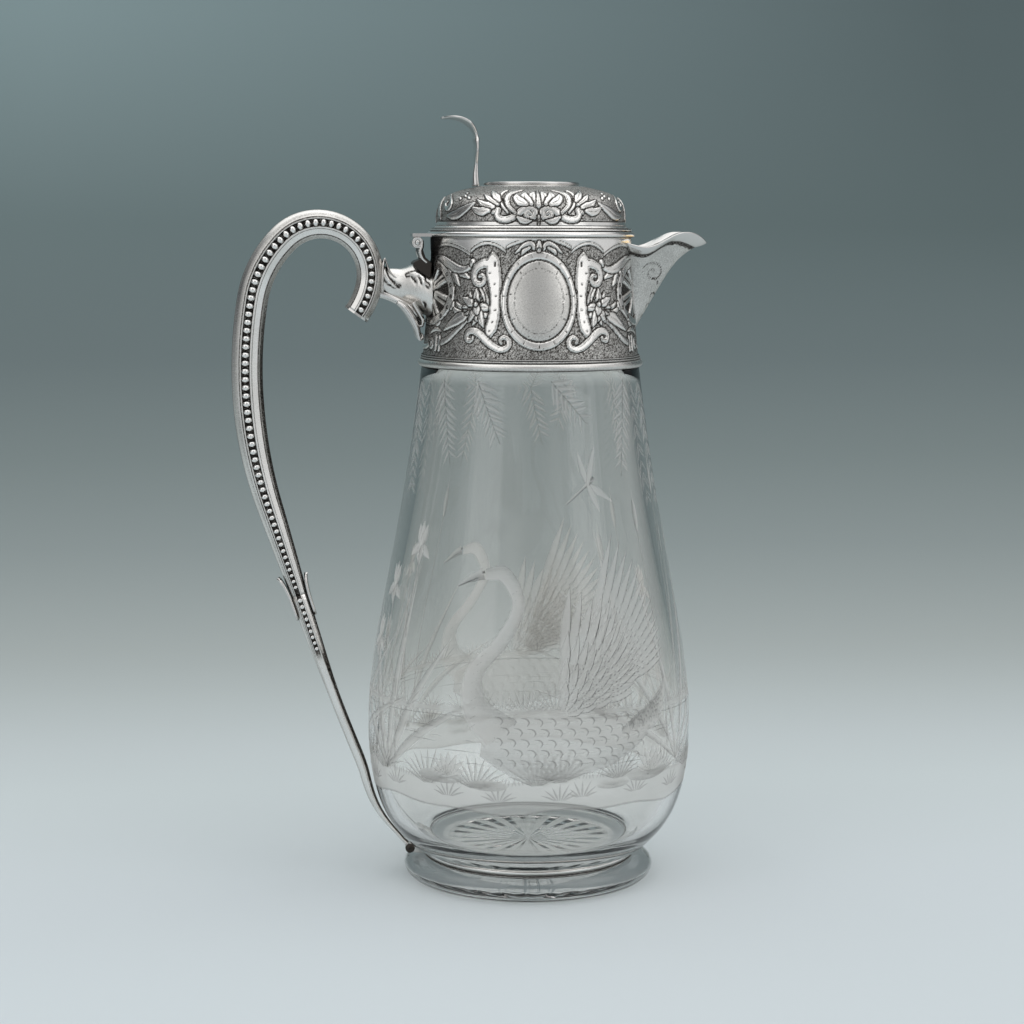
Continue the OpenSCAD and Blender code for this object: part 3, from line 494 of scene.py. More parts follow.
class Chasing:
    """A sheet laid flat. across and up are places on it in millimetres, and the work leaves
    high (how far it stands out) and ground (how dark it is, from the metal's own grey and from painted
    shade)."""

    def __init__(self, across, up, ground=0.55):
        self.shape = across.shape
        self.x, self.y = across.ravel(), up.ravel()
        self.high = np.zeros(self.x.size)
        self.ground = np.full(self.x.size, ground)

    def near(self, points, widths):
        """The places near a line: which they are, how far outside its edge each is, its distance from
        the middle as a share of the width, and how far along the line it is."""
        pts = np.array(points, float)
        w = shared_out(widths, len(pts))
        reach = w.max() + 0.7
        lo, hi = pts.min(0) - reach, pts.max(0) + reach
        pick = np.nonzero((self.x > lo[0]) & (self.x < hi[0]) & (self.y > lo[1]) & (self.y < hi[1]))[0]
        x, y = self.x[pick], self.y[pick]
        best, share, run = np.full(x.size, 1e9), np.ones(x.size), np.zeros(x.size)
        if len(pts) == 1:
            pts, w = np.vstack([pts, pts + 1e-3]), np.append(w, w)
        for k in range(len(pts) - 1):
            a, d = pts[k], pts[k + 1] - pts[k]
            t = np.clip(((x - a[0]) * d[0] + (y - a[1]) * d[1]) / max(d @ d, 1e-9), 0, 1)
            dist = np.hypot(x - a[0] - t * d[0], y - a[1] - t * d[1])
            wide = w[k] + t * (w[k + 1] - w[k])
            closer = dist - wide < best
            best = np.where(closer, dist - wide, best)
            share = np.where(closer, dist / np.maximum(wide, 1e-3), share)
            run = np.where(closer, (k + t) / (len(pts) - 1), run)
        return pick, best, share, run

    def press(self, pick, out, high, ground, outline=0.5):
        """Lays a form down: out is the distance outside its edge."""
        inside = np.clip(0.5 - out / 0.26, 0, 1)
        # rim: the dark outline round each form, part chased line and part painted shade at the form's edge
        rim = np.clip(1.4 - np.abs(out - outline / 2) / (max(outline, 0.01) * 0.7), 0, 1) * (outline > 0)
        self.high[pick] = inside * high + (1 - inside) * (self.high[pick] - 0.12 * rim)
        self.ground[pick] = inside * ground + (1 - inside) * np.maximum(self.ground[pick], rim)

    def strap(self, points, widths, high=0.42, line=0.0, branch=None):
        """A strap along a line. branch is the line and widths of a second strap that grows out of it."""
        pick, out, share, run = self.near(flow(points), widths)
        if branch:
            side_pick, side_out, share, run = self.near(flow(branch[0]), branch[1])
            both = np.full(self.x.size, 9.0)
            both[pick] = out
            both[side_pick] = np.minimum(both[side_pick], side_out)
            pick = np.union1d(pick, side_pick)
            out = both[pick]
        mark = np.clip(1 - np.abs(out + line) / 0.17, 0, 1) * (line > 0)
        self.press(pick, out, high * np.clip(-out / 0.16, 0.55, 1) - 0.08 * mark, 0.02 + 0.7 * mark)

    def leaf(self, points, widths, vein=0.3):
        pick, out, share, run = self.near(flow(points), widths)
        mark = np.clip(1 - share / 0.2, 0, 1) * (run > 0.08) * (run < 0.85)
        dome = 0.8 + 0.2 * np.sqrt(np.clip(1 - share ** 2, 0, 1))
        self.press(pick, out, 0.5 * dome - 0.1 * mark, 0.03 + 1.3 * vein * mark)

    def cut(self, points, width=0.16, depth=0.12, ground=0.9):
        pick, out, share, run = self.near(flow(points), width)
        inside = np.clip(0.5 - out / 0.22, 0, 1)
        self.high[pick] -= inside * depth
        self.ground[pick] = np.maximum(self.ground[pick], inside * ground)

    def ball(self, x, y, r, high=0.8):
        pick, out, share, run = self.near([(x, y)], r)
        self.press(pick, out, high * np.sqrt(np.clip(1.02 - share ** 2, 0, 1)), 0.02)

    def oval(self, x, y, a, b):
        dx, dy = self.x - x, self.y - y
        k = np.hypot(dx / a, dy / b)
        return k * (k - 1) / np.maximum(np.hypot(dx / a / a, dy / b / b), 1e-6), k


def flow(points, steps=6):
    """A smooth line through the points."""
    p = np.array(points, float)
    if len(p) < 3:
        return p
    p = np.vstack([2 * p[0] - p[1], p, 2 * p[-1] - p[-2]])
    t = np.linspace(0, 1, steps, endpoint=False)[:, None]
    out = []
    for a, b, c, d in zip(p, p[1:], p[2:], p[3:]):
        out.append(0.5 * (2 * b + (c - a) * t + (2 * a - 5 * b + 4 * c - d) * t ** 2
                          + (3 * b - a - 3 * c + d) * t ** 3))
    return np.vstack([*out, p[-2:-1]])


def volute(x, y, r, start, turn, steps=14):
    """A line that winds in to (x, y) from r away. Angles in degrees."""
    t = np.linspace(0, 1, steps)
    return [(x + r * (1 - 0.8 * q) * math.cos(a), y + r * (1 - 0.8 * q) * math.sin(a))
            for q, a in zip(t, np.radians(start + turn * t))]


# one quarter of the collar is worked flat, then mirrored all round
COLS, ROWS = 168, 132
SHEET_T = 0.9
quarter = np.linspace(0, math.pi / 2 * 38, COLS + 1)
heights = np.linspace(SHOULDER_Z + 0.1, COLLAR_TOP_Z - 0.02, ROWS)
work = Chasing(*np.meshgrid(quarter, heights))

# plain band with its scallops: middle, half width, foot and rise of each
arches = [(0.0, 12.2, 232.6, 3.3), (19.4, 7.2, 231.2, 3.1), (39.6, 13.0, 229.9, 3.9),
          (66.0, 13.4, 229.9, 3.9)]


def scallop(x, lift=0.0):
    best = np.full(np.shape(x), -1e9)
    for middle, half, base, rise in arches:
        inside = np.cos(np.clip((x - middle) / half, -1, 1) * math.pi / 2) ** 0.75
        best = np.where(np.abs(x - middle) <= half, np.maximum(best, base + lift + rise * inside), best)
    return best


everywhere = np.arange(work.x.size)
work.press(everywhere, scallop(work.x) - work.y, 0.2, 0.02, outline=0.4)
line_x = np.linspace(0, 59.6, 240)
for lift in (0.0, 1.15):
    pick, out, share, run = work.near(np.stack([line_x, scallop(line_x, lift)], -1), 0.15)
    groove = np.clip(0.5 - out / 0.22, 0, 1) * (work.y[pick] < COLLAR_TOP_Z - 0.8)
    work.high[pick] -= 0.1 * groove
    work.ground[pick] = np.maximum(work.ground[pick], 0.9 * groove)

# acanthus curl over the wheel, with its lobes and its ball
for lobe in ([(33.5, 225.6), (30.5, 224.4), (26.4, 222.6)], [(35.6, 225.4), (33.6, 222.4), (31.2, 220.0)],
             [(38.0, 225.6), (35.4, 221.4), (33.9, 217.4)], [(41.0, 227.0), (38.0, 224.0), (36.2, 221.0)]):
    work.leaf(lobe, [0.7, 1.35, 0.25])
work.leaf([(54.5, 226.2), (47.5, 228.7), (41.5, 228.4), (36.5, 226.9), (32.0, 225.7), (28.6, 225.8),
           (26.3, 226.8)], [1.0, 1.5, 1.8, 1.7, 1.3, 0.9, 0.8])
work.ball(25.5, 228.0, 1.35, 0.6)

# spear leaf, stems and the knot at the foot
work.strap([(26.0, 208.6), (31.0, 204.6), (36.0, 200.9), (40.6, 199.3)], [0.6, 0.9, 1.1], line=0.45)
work.leaf([(27.0, 211.6), (30.2, 210.5), (33.6, 211.8), (36.4, 214.6)], [0.4, 0.9, 0.2])
work.leaf([(27.6, 212.9), (30.4, 212.6), (32.6, 214.2)], [0.3, 0.7, 0.2])
work.leaf([(26.8, 209.7), (31.5, 208.0), (38.2, 204.0)], [0.4, 1.7, 2.0, 1.3, 0.2])
for x in (40.6, 43.0):
    work.strap([(x, 196.9), (x, 201.6)], [0.65])
work.ball(47.0, 199.0, 2.1, 0.5)
work.ball(47.0, 199.0, 0.85, -0.3)
work.strap([(49.5, 198.4), (53.0, 197.6), (59.7, 197.4)], [0.9])
work.leaf([(40.0, 203.6), (44.0, 204.3), (48.6, 202.4)], [0.2, 0.8, 0.2])

# wheel: dark gaps, spokes with slits, hub, and the rim laid last, with small punch marks
WHEEL = (50.5, 217.2)
out, k = work.oval(*WHEEL, 16.6, 11.8)
work.press(everywhere, out, -0.35, 0.97)
for root, tip in (((49.0, 219.0), (38.2, 223.6)), ((46.4, 216.4), (35.6, 213.4)),
                  ((49.5, 214.2), (43.0, 207.4)), ((51.0, 220.8), (46.9, 226.6)),
                  ((54.5, 219.8), (58.0, 226.0)), ((54.0, 214.2), (58.5, 208.0))):
    work.strap([root, tip], [1.5, 2.1])
    inner = [tuple(np.array(root) * (1 - t) + np.array(tip) * t) for t in (0.2, 0.88)]
    work.cut(inner, [0.3, 0.5], ground=1.0)
work.leaf([(51.8, 212.8), (51.8, 220.4)], [0.5, 1.9, 1.9, 0.5])
hole, k = work.oval(*WHEEL, 13.5, 9.3)
work.press(everywhere, np.maximum(out, -hole), 0.4, 0.04, outline=0.35)
for a in range(-50, 60, 22):
    work.ball(WHEEL[0] - 15.1 * math.cos(math.radians(a)), WHEEL[1] + 10.75 * math.sin(math.radians(a)), 0.28,
              -0.2)

# vine flower of five petals, each with a lobe on both sides
at = np.array([23.3, 212.9])
for dx, dy, wide in ((0.2, 6.0, 1.35), (6.0, 2.9, 1.3), (-6.3, -0.6, 1.3), (-3.3, -7.2, 1.5),
                     (2.6, -5.6, 1.1)):
    d = np.array([dx, dy])
    side = np.array([-dy, dx]) * 0.42
    for s in (-1, 1):
        work.leaf([at + d * 0.32, at + d * 0.56 + side * s * 0.66, at + d * 0.72 + side * s * 1.15],
                  [0.5, wide * 0.6, 0.12], vein=0)
    work.leaf([at + d * 0.1, at + d * 0.55, at + d * 1.04], [0.35, wide * 1.05, wide * 0.8, 0.1], vein=0.6)
work.leaf([(23.5, 214.6), (23.0, 212.0), (22.6, 210.2)], [0.5, 1.4, 0.4])
work.ball(23.4, 213.6, 0.75)
work.strap([(20.6, 219.4), (19.4, 216.6), (18.4, 214.0)], [0.3, 0.5, 0.3])
work.strap([(22.4, 219.6), (20.6, 217.0), (20.0, 215.0)], [0.3, 0.5, 0.3])

# strap beside the oval, with its volute and its leaf-shaped head
work.strap([(17.3, 231.8), (17.1, 228.5), (16.8, 224.5), (16.0, 219.5), (15.7, 214.5), (16.1, 209.5),
            (17.1, 205.5), (18.6, 202.0)], [0.2, 2.5, 2.9, 2.3, 2.0, 2.0, 2.2, 1.0], line=0.55,
           branch=([(17.5, 228.0), (21.0, 227.8), (23.9, 226.2), (24.9, 223.5), (23.8, 221.1), (21.6, 220.7),
                    (20.4, 222.2), (21.2, 223.7), (22.6, 223.4)], [1.6, 1.5, 1.3, 1.15, 1.0, 0.85, 0.7, 0.5]))
work.cut([(16.2, 228.2), (16.1, 227.0)], 0.36)
for x, z in ((18.4, 224.4), (16.4, 220.6), (15.8, 216.4), (15.9, 211.6), (16.8, 207.4), (17.8, 204.2)):
    work.cut([(x, z), (x - 0.5, z + 0.1)], 0.2)

# scroll under the strap
work.strap([(24.0, 202.0), (24.7, 200.9), (26.2, 201.0), (26.8, 202.4), (25.8, 203.9), (23.6, 204.2),
            (21.2, 203.0), (18.6, 200.9), (15.9, 198.9), (13.2, 197.9), (10.9, 198.8), (10.5, 200.9),
            (12.0, 202.3), (13.6, 201.4), (13.2, 200.2)], [0.5, 0.85, 0.95, 1.25, 1.3, 1.05, 0.85, 0.7, 0.45],
           line=0.45)

# crest over the oval
work.leaf([(1.2, 232.6), (3.0, 234.6), (5.6, 234.0), (8.6, 231.6)], [0.6, 1.0, 0.8, 0.2])
work.leaf([(3.4, 233.4), (5.6, 232.2), (6.2, 231.0)], [0.4, 0.7, 0.2])
work.leaf([(0, 231.6), (0, 235.2)], [1.3, 0.6])

# oval: punched border, dark groove, plain domed plate
OVAL = (0, 214.9)
out, k = work.oval(*OVAL, 13.7, 17.2)
mark = np.clip(1 - np.abs(out + 0.5) / 0.17, 0, 1)
work.press(everywhere, out, 0.45 * np.clip(-out / 0.25, 0.3, 1) - 0.1 * mark, 0.03 + 0.6 * mark)
out, k = work.oval(*OVAL, 11.9, 14.6)
work.press(everywhere, out, -0.1, 0.7, outline=0)
out, k = work.oval(*OVAL, 11.2, 13.9)
mark = np.clip(1 - np.abs(out + 2.5) / 0.24, 0, 1)
work.press(everywhere, out, 0.7 * (1 - np.clip(k, 0, 1) ** 4) + 0.2 - 0.05 * mark, 0.26 + 0.36 * mark)
for count, a, b, start in ((15, 12.75, 15.9, 12), (9, 10.3, 12.9, 0)):
    for n in range(count):
        angle = math.radians(start + 360 * n / count + 90)
        across = np.array([math.cos(angle), math.sin(angle)])
        spot = np.array(OVAL) + across * (a, b)
        if spot[0] > -1:
            work.cut([spot - across * 0.4, spot + across * 0.4], 0.15)
for z, way in ((225.4, 1), (204.4, -1)):
    work.cut(volute(1.5, z, 1.0, 200 * way, 420 * way), 0.06, ground=0.7)
work.ball(0, 232.5, 0.6, 0.1)
work.cut([(0, 232.5)], 0.22)


def turned_four(field, rows):
    """The quarter, mirrored round the whole sheet."""
    whole = field.reshape(rows, COLS + 1)
    half = np.hstack([whole[:, :COLS], whole[:, :0:-1]])
    return np.hstack([half, half])


def mark_near(piece, points, values):
    """Ground values for a merged piece, taken from the points that it was made of."""
    count = len(piece.data.vertices)
    spots = np.zeros(count * 3)
    piece.data.vertices.foreach_get("co", spots)
    tree = KDTree(points.size // 3)
    for k, spot in enumerate(points.reshape(-1, 3) * MM):
        tree.insert(spot, k)
    tree.balance()
    flat = np.asarray(values).ravel()
    put_values(piece, "ground", [flat[tree.find(spot)[1]] for spot in spots.reshape(-1, 3)])


rng = np.random.default_rng(7)


def stippled(high, tone, rise):
    """Punch marks over the matted ground."""
    dots = rng.normal(0, 1, high.shape) * (tone > 0.3) * (tone < 0.8)
    return high + rise * dots, np.clip(tone + 0.17 * dots, 0, 1)


high, tone = stippled(turned_four(work.high, ROWS), turned_four(work.ground, ROWS), 0.04)
FRONT_TURN = -1.4    # the middle of the front oval, in degrees round from the front
face_turn = np.radians(FRONT_TURN) + np.linspace(0, 2 * math.pi, 4 * COLS, endpoint=False)
edge_fade = smooth((heights - SHOULDER_Z) / 1.0) * smooth((COLLAR_TOP_Z - heights) / 0.6)
outer = collar_r(heights)[:, None] - 0.25 + high * edge_fade[:, None]
inner_z = np.array([COLLAR_TOP_Z - 0.02, COLLAR_TOP_Z - 0.3, 225, 212, 200, SHOULDER_Z + 0.1])
inner = (collar_r(inner_z) - SHEET_T)[:, None] + 0 * face_turn
radius = np.vstack([outer, inner])
level = np.concatenate([heights, inner_z])[:, None] + 0 * face_turn
points = round_points(radius, face_turn, level)
chased = chased_silver()

# painted reflection of the dark hinge arm, nearly black on a wedge of the collar round it
ARM_REFLECTION_Z = 225.5
wedge = 0.24 + 0.23 * (heights[:, None] - ARM_REFLECTION_Z) / 11
from_hinge = np.abs(np.mod(face_turn + math.pi / 2 + math.pi, 2 * math.pi) - math.pi)
painted_arm_reflection = smooth((wedge - from_hinge) / 0.06) * smooth((heights[:, None] - ARM_REFLECTION_Z) / 1.5)
collar_tone = np.vstack([np.maximum(tone, 0.97 * painted_arm_reflection), np.full(inner.shape, 0.1)])
collar = sheet_of_points("chased_collar", points, chased, closed_cols=True, closed_rows=True)
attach(collar, "jug")
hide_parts("collar_sleeve")

# ------------------------------------------------------------------ collar moulding
# A half-round wire with two thin reeds above it, soldered round the foot of the collar.
def half_round(x, z, r, steps=14):
    a = np.radians(np.linspace(-90, 90, steps))
    return np.stack([x + r * np.cos(a), z + r * np.sin(a)], -1)


def on_jug(piece, slot, *nodes):
    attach(piece, "jug")
    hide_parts(*nodes)


def on_lid(piece, slot, *nodes):
    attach(piece, "lid")
    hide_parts(*nodes)


def paint_groove_shade(piece, grooves, heights=(0, 1), shades=(0.05, 0.05)):
    """Paints shade nearly black in the grooves of a turned piece. Other parts take the painted shades and
    reflections at the heights.
    """
    z = np.array([v.co.z for v in piece.data.vertices]) / MM
    near = np.min([np.abs(z - groove) for groove in grooves], axis=0) < 0.14
    put_values(piece, "ground", np.where(near, 0.97, np.interp(z, heights, shades)))


moulding = lathe("collar_moulding_wire", np.vstack([
    [(39.7, 190.12)], half_round(39.72, 191.6, 1.45, 20), half_round(39.85, 193.48, 0.42),
    half_round(39.7, 194.26, 0.32), [(39.3, 194.6)]]), chased)
# painted shade in the wire's grooves, and painted reflections on the half-round, darkest at its foot
paint_groove_shade(moulding, (190.1, 193.06, 193.92, 194.6), (190.2, 190.9, 192.6, 193.0), (0.6, 0.28, 0.14, 0.4))
on_jug(moulding, "polished_silver", "collar_moulding")

# ------------------------------------------------------------------ spout
# Sheet silver folded to a beak, gilt inside, soldered over an opening in the collar. A thick
# half-round lip follows its mouth. A scroll and a few commas are engraved on each side.
SPOUT_REACH, SPOUT_HALF_W, SPOUT_H, LIP_H, LIP_T = 64.6, 15.0, 33.0, 3.3, 1.4
SPOUT_FOOT_Z = COLLAR_TOP_Z - SPOUT_H
FOOT_X = collar_r(SPOUT_FOOT_Z)
DIP, SWELL = -3.1, 2.1


def blend(a, b, t):
    return a + (b - a) * t


def mouth_z(f):
    near = blend(DIP, SWELL, smooth((f - 0.24) / 0.46)) + 1.5 * np.maximum(0, 1 - f / 0.22) ** 1.5
    return COLLAR_TOP_Z + np.where(f < 0.74, near, SWELL - 56 * (f - 0.74) ** 2)


def spout_plan(c, up):
    z = blend(SPOUT_FOOT_Z, COLLAR_TOP_Z, up)
    f = (z - SPOUT_FOOT_Z) / SPOUT_H
    w = SPOUT_HALF_W * (0.2 + 0.25 * f + 0.55 * f ** 3)
    root = np.sqrt(collar_r(z) ** 2 - w * w) - 0.6
    keel = FOOT_X + (SPOUT_REACH - FOOT_X) * (0.7 * up + 0.3 * up ** 8)
    side = np.sin(c * math.pi / 2)
    return np.stack([blend(root, keel, np.cos(c * math.pi / 2)), w * np.sign(c) * np.abs(side) ** 1.25], -1)


def spout_grid(ups, cols, out):
    up = np.asarray(ups) if np.ndim(ups) == 2 else np.asarray(ups)[:, None] + np.zeros(cols)
    c = np.linspace(-1, 1, cols)[None] + 0 * up
    here = spout_plan(c, up)
    along = spout_plan(np.minimum(1, c + 0.02), up) - spout_plan(np.maximum(-1, c - 0.02), up)
    along /= np.linalg.norm(along, axis=-1, keepdims=True)
    place = here + np.asarray(out)[..., None] * np.stack([along[..., 1], -along[..., 0]], -1)
    z = blend(SPOUT_FOOT_Z, mouth_z(np.cos(c * math.pi / 2)), up)
    return np.concatenate([place, z[..., None]], -1)


# the opening in the collar is a little narrower than the beak, so its edges bear on the sheet
gate_z = np.linspace(SPOUT_FOOT_Z + 3, COLLAR_TOP_Z + 1, 12)
gate_w = spout_plan(1.0, (gate_z - SPOUT_FOOT_Z) / SPOUT_H)[:, 1] - 1.8
gate = np.concatenate([np.stack([-gate_w, gate_z], -1), np.stack([gate_w, gate_z], -1)[::-1]])
gate = [np.insert(gate, 0, x, axis=1) for x in (5.0, 60.0)]
count = len(gate_z) * 2
faces = [[k, (k + 1) % count, count + (k + 1) % count, count + k] for k in range(count)]
faces += [list(range(count))[::-1], list(range(count, 2 * count))]
cutter = mesh_of("collar_gate", np.vstack(gate), faces, chased, smooth=False)
opening = collar.modifiers.new("gate", "BOOLEAN")
opening.object = cutter
opening.solver = "MANIFOLD"
collar.data = bpy.data.meshes.new_from_object(collar.evaluated_get(bpy.context.evaluated_depsgraph_get()))
collar.modifiers.clear()
bpy.data.objects.remove(cutter)
mark_near(collar, points, collar_tone)


def lip_low(cols):
    """Where the lip's lower edge runs: the wire is thinner at the beak's tip."""
    return 1 - blend(1.9, LIP_H, smooth(np.abs(np.linspace(-1, 1, cols)) / 0.5)) / SPOUT_H


BEAK_COLS = 141
ups = 1 - (1 - np.linspace(0, 1, 64)) ** 1.3
flat = spout_grid(ups, BEAK_COLS, 0.0)
beak = Chasing(flat[..., 0], flat[..., 2], ground=0.33)
scroll_x, scroll_z, squat = 44.3, 224.3, 0.86
scroll = volute(scroll_x, scroll_z, 4.6, 155, -460, 26)
beak.cut([(x, scroll_z + (z - scroll_z) * squat) for x, z in scroll], 0.17, 0.05, 0.9)
for turn in range(-60, 200, 14):
    a = math.radians(turn)
    ends = [(scroll_x + r * math.cos(a + lean), scroll_z + squat * r * math.sin(a + lean))
            for r, lean in ((2.7, -0.25), (3.6, -0.1), (4.4, 0.0))]
    beak.cut(ends, 0.07, 0.02, 0.62)
beak.cut([(45.6, 222.2), (46.5, 220.8), (46.3, 219.6)], [0.1, 0.28, 0.08], 0.05)
for x, z, size in ((44.8, 215.6, 1.0), (43.1, 211.9, 0.75), (41.4, 207.6, 0.9)):
    comma = [(x + size * a, z + size * b)
             for a, b in ((-0.9, -1.5), (-0.7, 0.6), (0.4, 1.2), (1.0, 0.2), (0.8, -1.2))]
    beak.cut(comma, [0.06, 0.16, 0.2, 0.16, 0.05], 0.05)
# painted shade: a dark line on the beak just under the lip
shade_under_lip = np.abs(ups[:, None] - lip_low(BEAK_COLS) + 0.014) < 0.016
beak.ground[shade_under_lip.ravel()] = 0.9
outside = spout_grid(ups, BEAK_COLS, beak.high.reshape(beak.shape))
lining = spout_grid(ups, BEAK_COLS, -SHEET_T)
gilt = silver("gilt_silver", (0.95, 0.70, 0.36), 0.2)
spout = sheet_of_points("spout_beak", np.vstack([outside, lining[::-1]]), chased, closed_rows=True, fold=True)
spout.data.materials.append(gilt)
put_values(spout, "ground", np.vstack([beak.ground.reshape(beak.shape), np.zeros(beak.shape)]))
for face in spout.data.polygons:
    face.material_index = int(min(face.vertices) >= beak.x.size)
on_jug(spout, "gilt_lined_silver", "spout_body")

LIP_ROWS, LIP_COLS = 13, 161
bulge = np.radians(np.linspace(-90, 90, LIP_ROWS))
lip_ups = blend(blend(lip_low(LIP_COLS), 1, 0.5), 1, np.sin(bulge)[:, None])
lip_out = 0.02 + LIP_T * np.cos(bulge)
front = spout_grid(lip_ups, LIP_COLS, lip_out[:, None] + np.zeros(LIP_COLS))
back = spout_grid(lip_ups[::-1], LIP_COLS, np.full((LIP_ROWS, LIP_COLS), -1.1))
lip = sheet_of_points("spout_lip_wire", np.vstack([front, back]), polished, closed_rows=True, fold=True)
on_jug(lip, "polished_silver", "spout_lip")

# ------------------------------------------------------------------ lid
# A shallow silver dome, raised and chased, on a half-round rim that rests on the collar. A gilt
# bezel drops into the collar's mouth, and a plain round plate with a raised edge lies on top.
FLANGE_Z, DOME_R, DISC_R = COLLAR_TOP_Z + 0.05, 34.5, 17.5
DOME_Z, DOME_TOP_Z = FLANGE_Z + 4.1, FLANGE_Z + 18.5

rim = lathe("lid_rim", np.vstack([[(33.6, FLANGE_Z)], half_round(36.8, FLANGE_Z + 1, 1.0, 18),
                                  half_round(36.15, FLANGE_Z + 2.55, 0.55),
                                  bezier([(36.0, FLANGE_Z + 3.1), (35.5, FLANGE_Z + 3.1),
                                          (34.8, FLANGE_Z + 3.4), (34.55, DOME_Z + 0.05)], 8),
                                  [(33.6, DOME_Z + 0.05), (33.6, DOME_Z - 0.3)]]), chased)
# painted shade in the rim's grooves, and a painted dark line low on the flange where it meets the collar
paint_groove_shade(rim, (FLANGE_Z + 2.0, FLANGE_Z + 3.1, DOME_Z + 0.05),
        FLANGE_Z + np.array([0, 0.06, 0.16, 0.3, 0.6, 1.7, 2.0]), (0.15, 0.9, 0.9, 0.35, 0.0, 0.0, 0.12))
on_lid(rim, "polished_silver", "lid_flange")

bezel = lathe("lid_bezel_band", [(34.5, FLANGE_Z - 3.4), (34.7, FLANGE_Z - 3.1), (34.7, FLANGE_Z + 0.1),
                                 (33.8, FLANGE_Z + 0.1), (33.8, FLANGE_Z - 3.4)], gilt)
on_lid(bezel, "gilt_lined_silver", "lid_bezel")

dome_line = bezier([(DOME_R, DOME_Z), (DOME_R + 0.4, DOME_Z + 11.4), (30.0, DOME_Z + 11.95),
                    (18.5, DOME_TOP_Z)], 110)
climb = lengths_along(dome_line)
turn = np.linspace(0, math.pi / 2, COLS + 1)
work = Chasing(turn[None, :] * dome_line[:, :1], climb[:, None] + 0 * turn[None, :], ground=0.5)

# plain edge, then scrolls and leaves, all of them mirrored at both sides of the quarter
everywhere = np.arange(work.x.size)
work.press(everywhere, work.y - 1.3, 0.1, 0.02, outline=0.3)
work.strap([(16.6, 4.6), (15.9, 6.0), (14.5, 5.6), (15.0, 3.9), (14.0, 2.4), (11.2, 2.1), (8.2, 3.4),
            (5.6, 5.6), (3.4, 6.6), (1.5, 5.4), (1.6, 3.2), (3.4, 2.5), (4.5, 3.8), (3.6, 4.8), (2.9, 4.2)],
           [0.6, 0.9, 1.1, 1.15, 0.95, 0.85, 0.75, 0.45], line=0.4)
work.leaf([(7.4, 2.9), (5.2, 1.5), (2.6, 1.7)], [0.4, 1.0, 0.9, 0.2])
work.leaf([(0, 0.4), (0, 3.4)], [0.2, 1.0, 0.3])
for blade in ([(1.0, 7.4), (2.2, 10.8), (1.2, 14.2)], [(2.6, 7.8), (4.8, 10.4), (4.2, 13.8)],
              [(4.4, 7.6), (7.2, 9.4), (7.6, 12.4)]):
    work.leaf(blade, [0.7, 1.6, 1.3, 0.2], vein=0.5)
work.leaf([(0, 7.0), (0, 16.0)], [0.7, 1.3, 0.2])
work.strap([(8.4, 4.6), (11.0, 7.4), (10.8, 11.2), (8.6, 14.0), (5.4, 16.2)], [0.5, 0.9, 0.85, 0.7, 0.3],
           line=0.35)
work.strap([(11.0, 4.6), (13.4, 8.0), (13.2, 12.4), (10.8, 16.0)], [0.3, 0.55, 0.5, 0.3])
for blade in ([(14.5, 7.6), (17.4, 9.4), (19.8, 12.4)], [(16.2, 6.6), (20.0, 7.4), (23.0, 9.6)],
              [(14.0, 9.0), (15.6, 12.4), (16.4, 16.0)], [(18.0, 5.2), (22.0, 5.0), (25.6, 6.6)]):
    work.leaf(blade, [0.6, 1.5, 1.1, 0.2], vein=0.5)
work.leaf([(38.5, 3.4), (34.0, 3.6), (29.0, 5.6), (24.0, 8.2)], [0.6, 1.5, 1.7, 1.2, 0.3], vein=0.6)
for x, v in ((27.0, 10.6), (29.0, 11.8), (31.6, 10.4), (28.4, 13.6)):
    work.ball(x, v, 0.8, 0.5)
work.strap([(40.0, 12.6), (37.0, 8.6), (38.6, 6.2), (41.0, 6.6), (41.4, 8.4), (40.0, 8.8)],
           [0.5, 1.0, 0.9, 0.7, 0.4])
work.leaf([(45.0, 2.6), (47.5, 6.0), (46.8, 11.0)], [0.6, 1.6, 1.2, 0.3], vein=0.5)
work.leaf([(54.0, 1.8), (54.0, 9.5)], [0.8, 1.9, 1.6, 0.4], vein=0.5)
work.press(everywhere, climb[-1] - 1.5 - work.y, 0.12, 0.05, outline=0.3)
rows = len(dome_line)
high, tone = stippled(turned_four(work.high, rows), turned_four(work.ground, rows), 0.035)
slope = np.gradient(dome_line, axis=0)
slope /= np.linalg.norm(slope, axis=1, keepdims=True)
fade = smooth(climb / 0.5)[:, None] * smooth((climb[-1] - climb) / 0.5)[:, None]
lift = (high * 0.9 - 0.2) * fade
r = dome_line[:, :1] + slope[:, 1:] * lift
z = dome_line[:, 1:] - slope[:, :1] * lift
under = bezier([(DOME_R - SHEET_T, DOME_Z), (DOME_R - 0.5, DOME_Z + 10.6), (29.6, DOME_Z + 11.1),
                (18.5, DOME_TOP_Z - SHEET_T)], 16)
across = np.zeros((1, 4 * COLS))
r = np.vstack([r, across, across, under[::-1, :1] + across])
z = np.vstack([z, across + DOME_TOP_Z, across + DOME_TOP_Z - SHEET_T, under[::-1, 1:] + across])
dome = sheet_of_points("chased_lid_dome", round_points(r, face_turn, z), chased, closed_cols=True,
                       closed_rows=True)
put_values(dome, "ground", np.vstack([tone, np.full((2 + len(under), 4 * COLS), 0.1)]))
merge(dome)
on_lid(dome, "chased_silver", "lid_dome")

plate = lathe("lid_round_plate", [(0, DOME_TOP_Z + 0.02), (DISC_R - 0.3, DOME_TOP_Z + 0.02),
                                  (DISC_R, DOME_TOP_Z + 0.3), (DISC_R, DOME_TOP_Z + 0.9),
                                  (DISC_R - 0.25, DOME_TOP_Z + 1.22), (DISC_R - 0.75, DOME_TOP_Z + 1.22),
                                  (DISC_R - 1.1, DOME_TOP_Z + 0.85), (DISC_R - 1.5, DOME_TOP_Z + 0.82),
                                  (0, DOME_TOP_Z + 0.82)], polished, closed=False)
on_lid(plate, "polished_silver", "lid_disc")

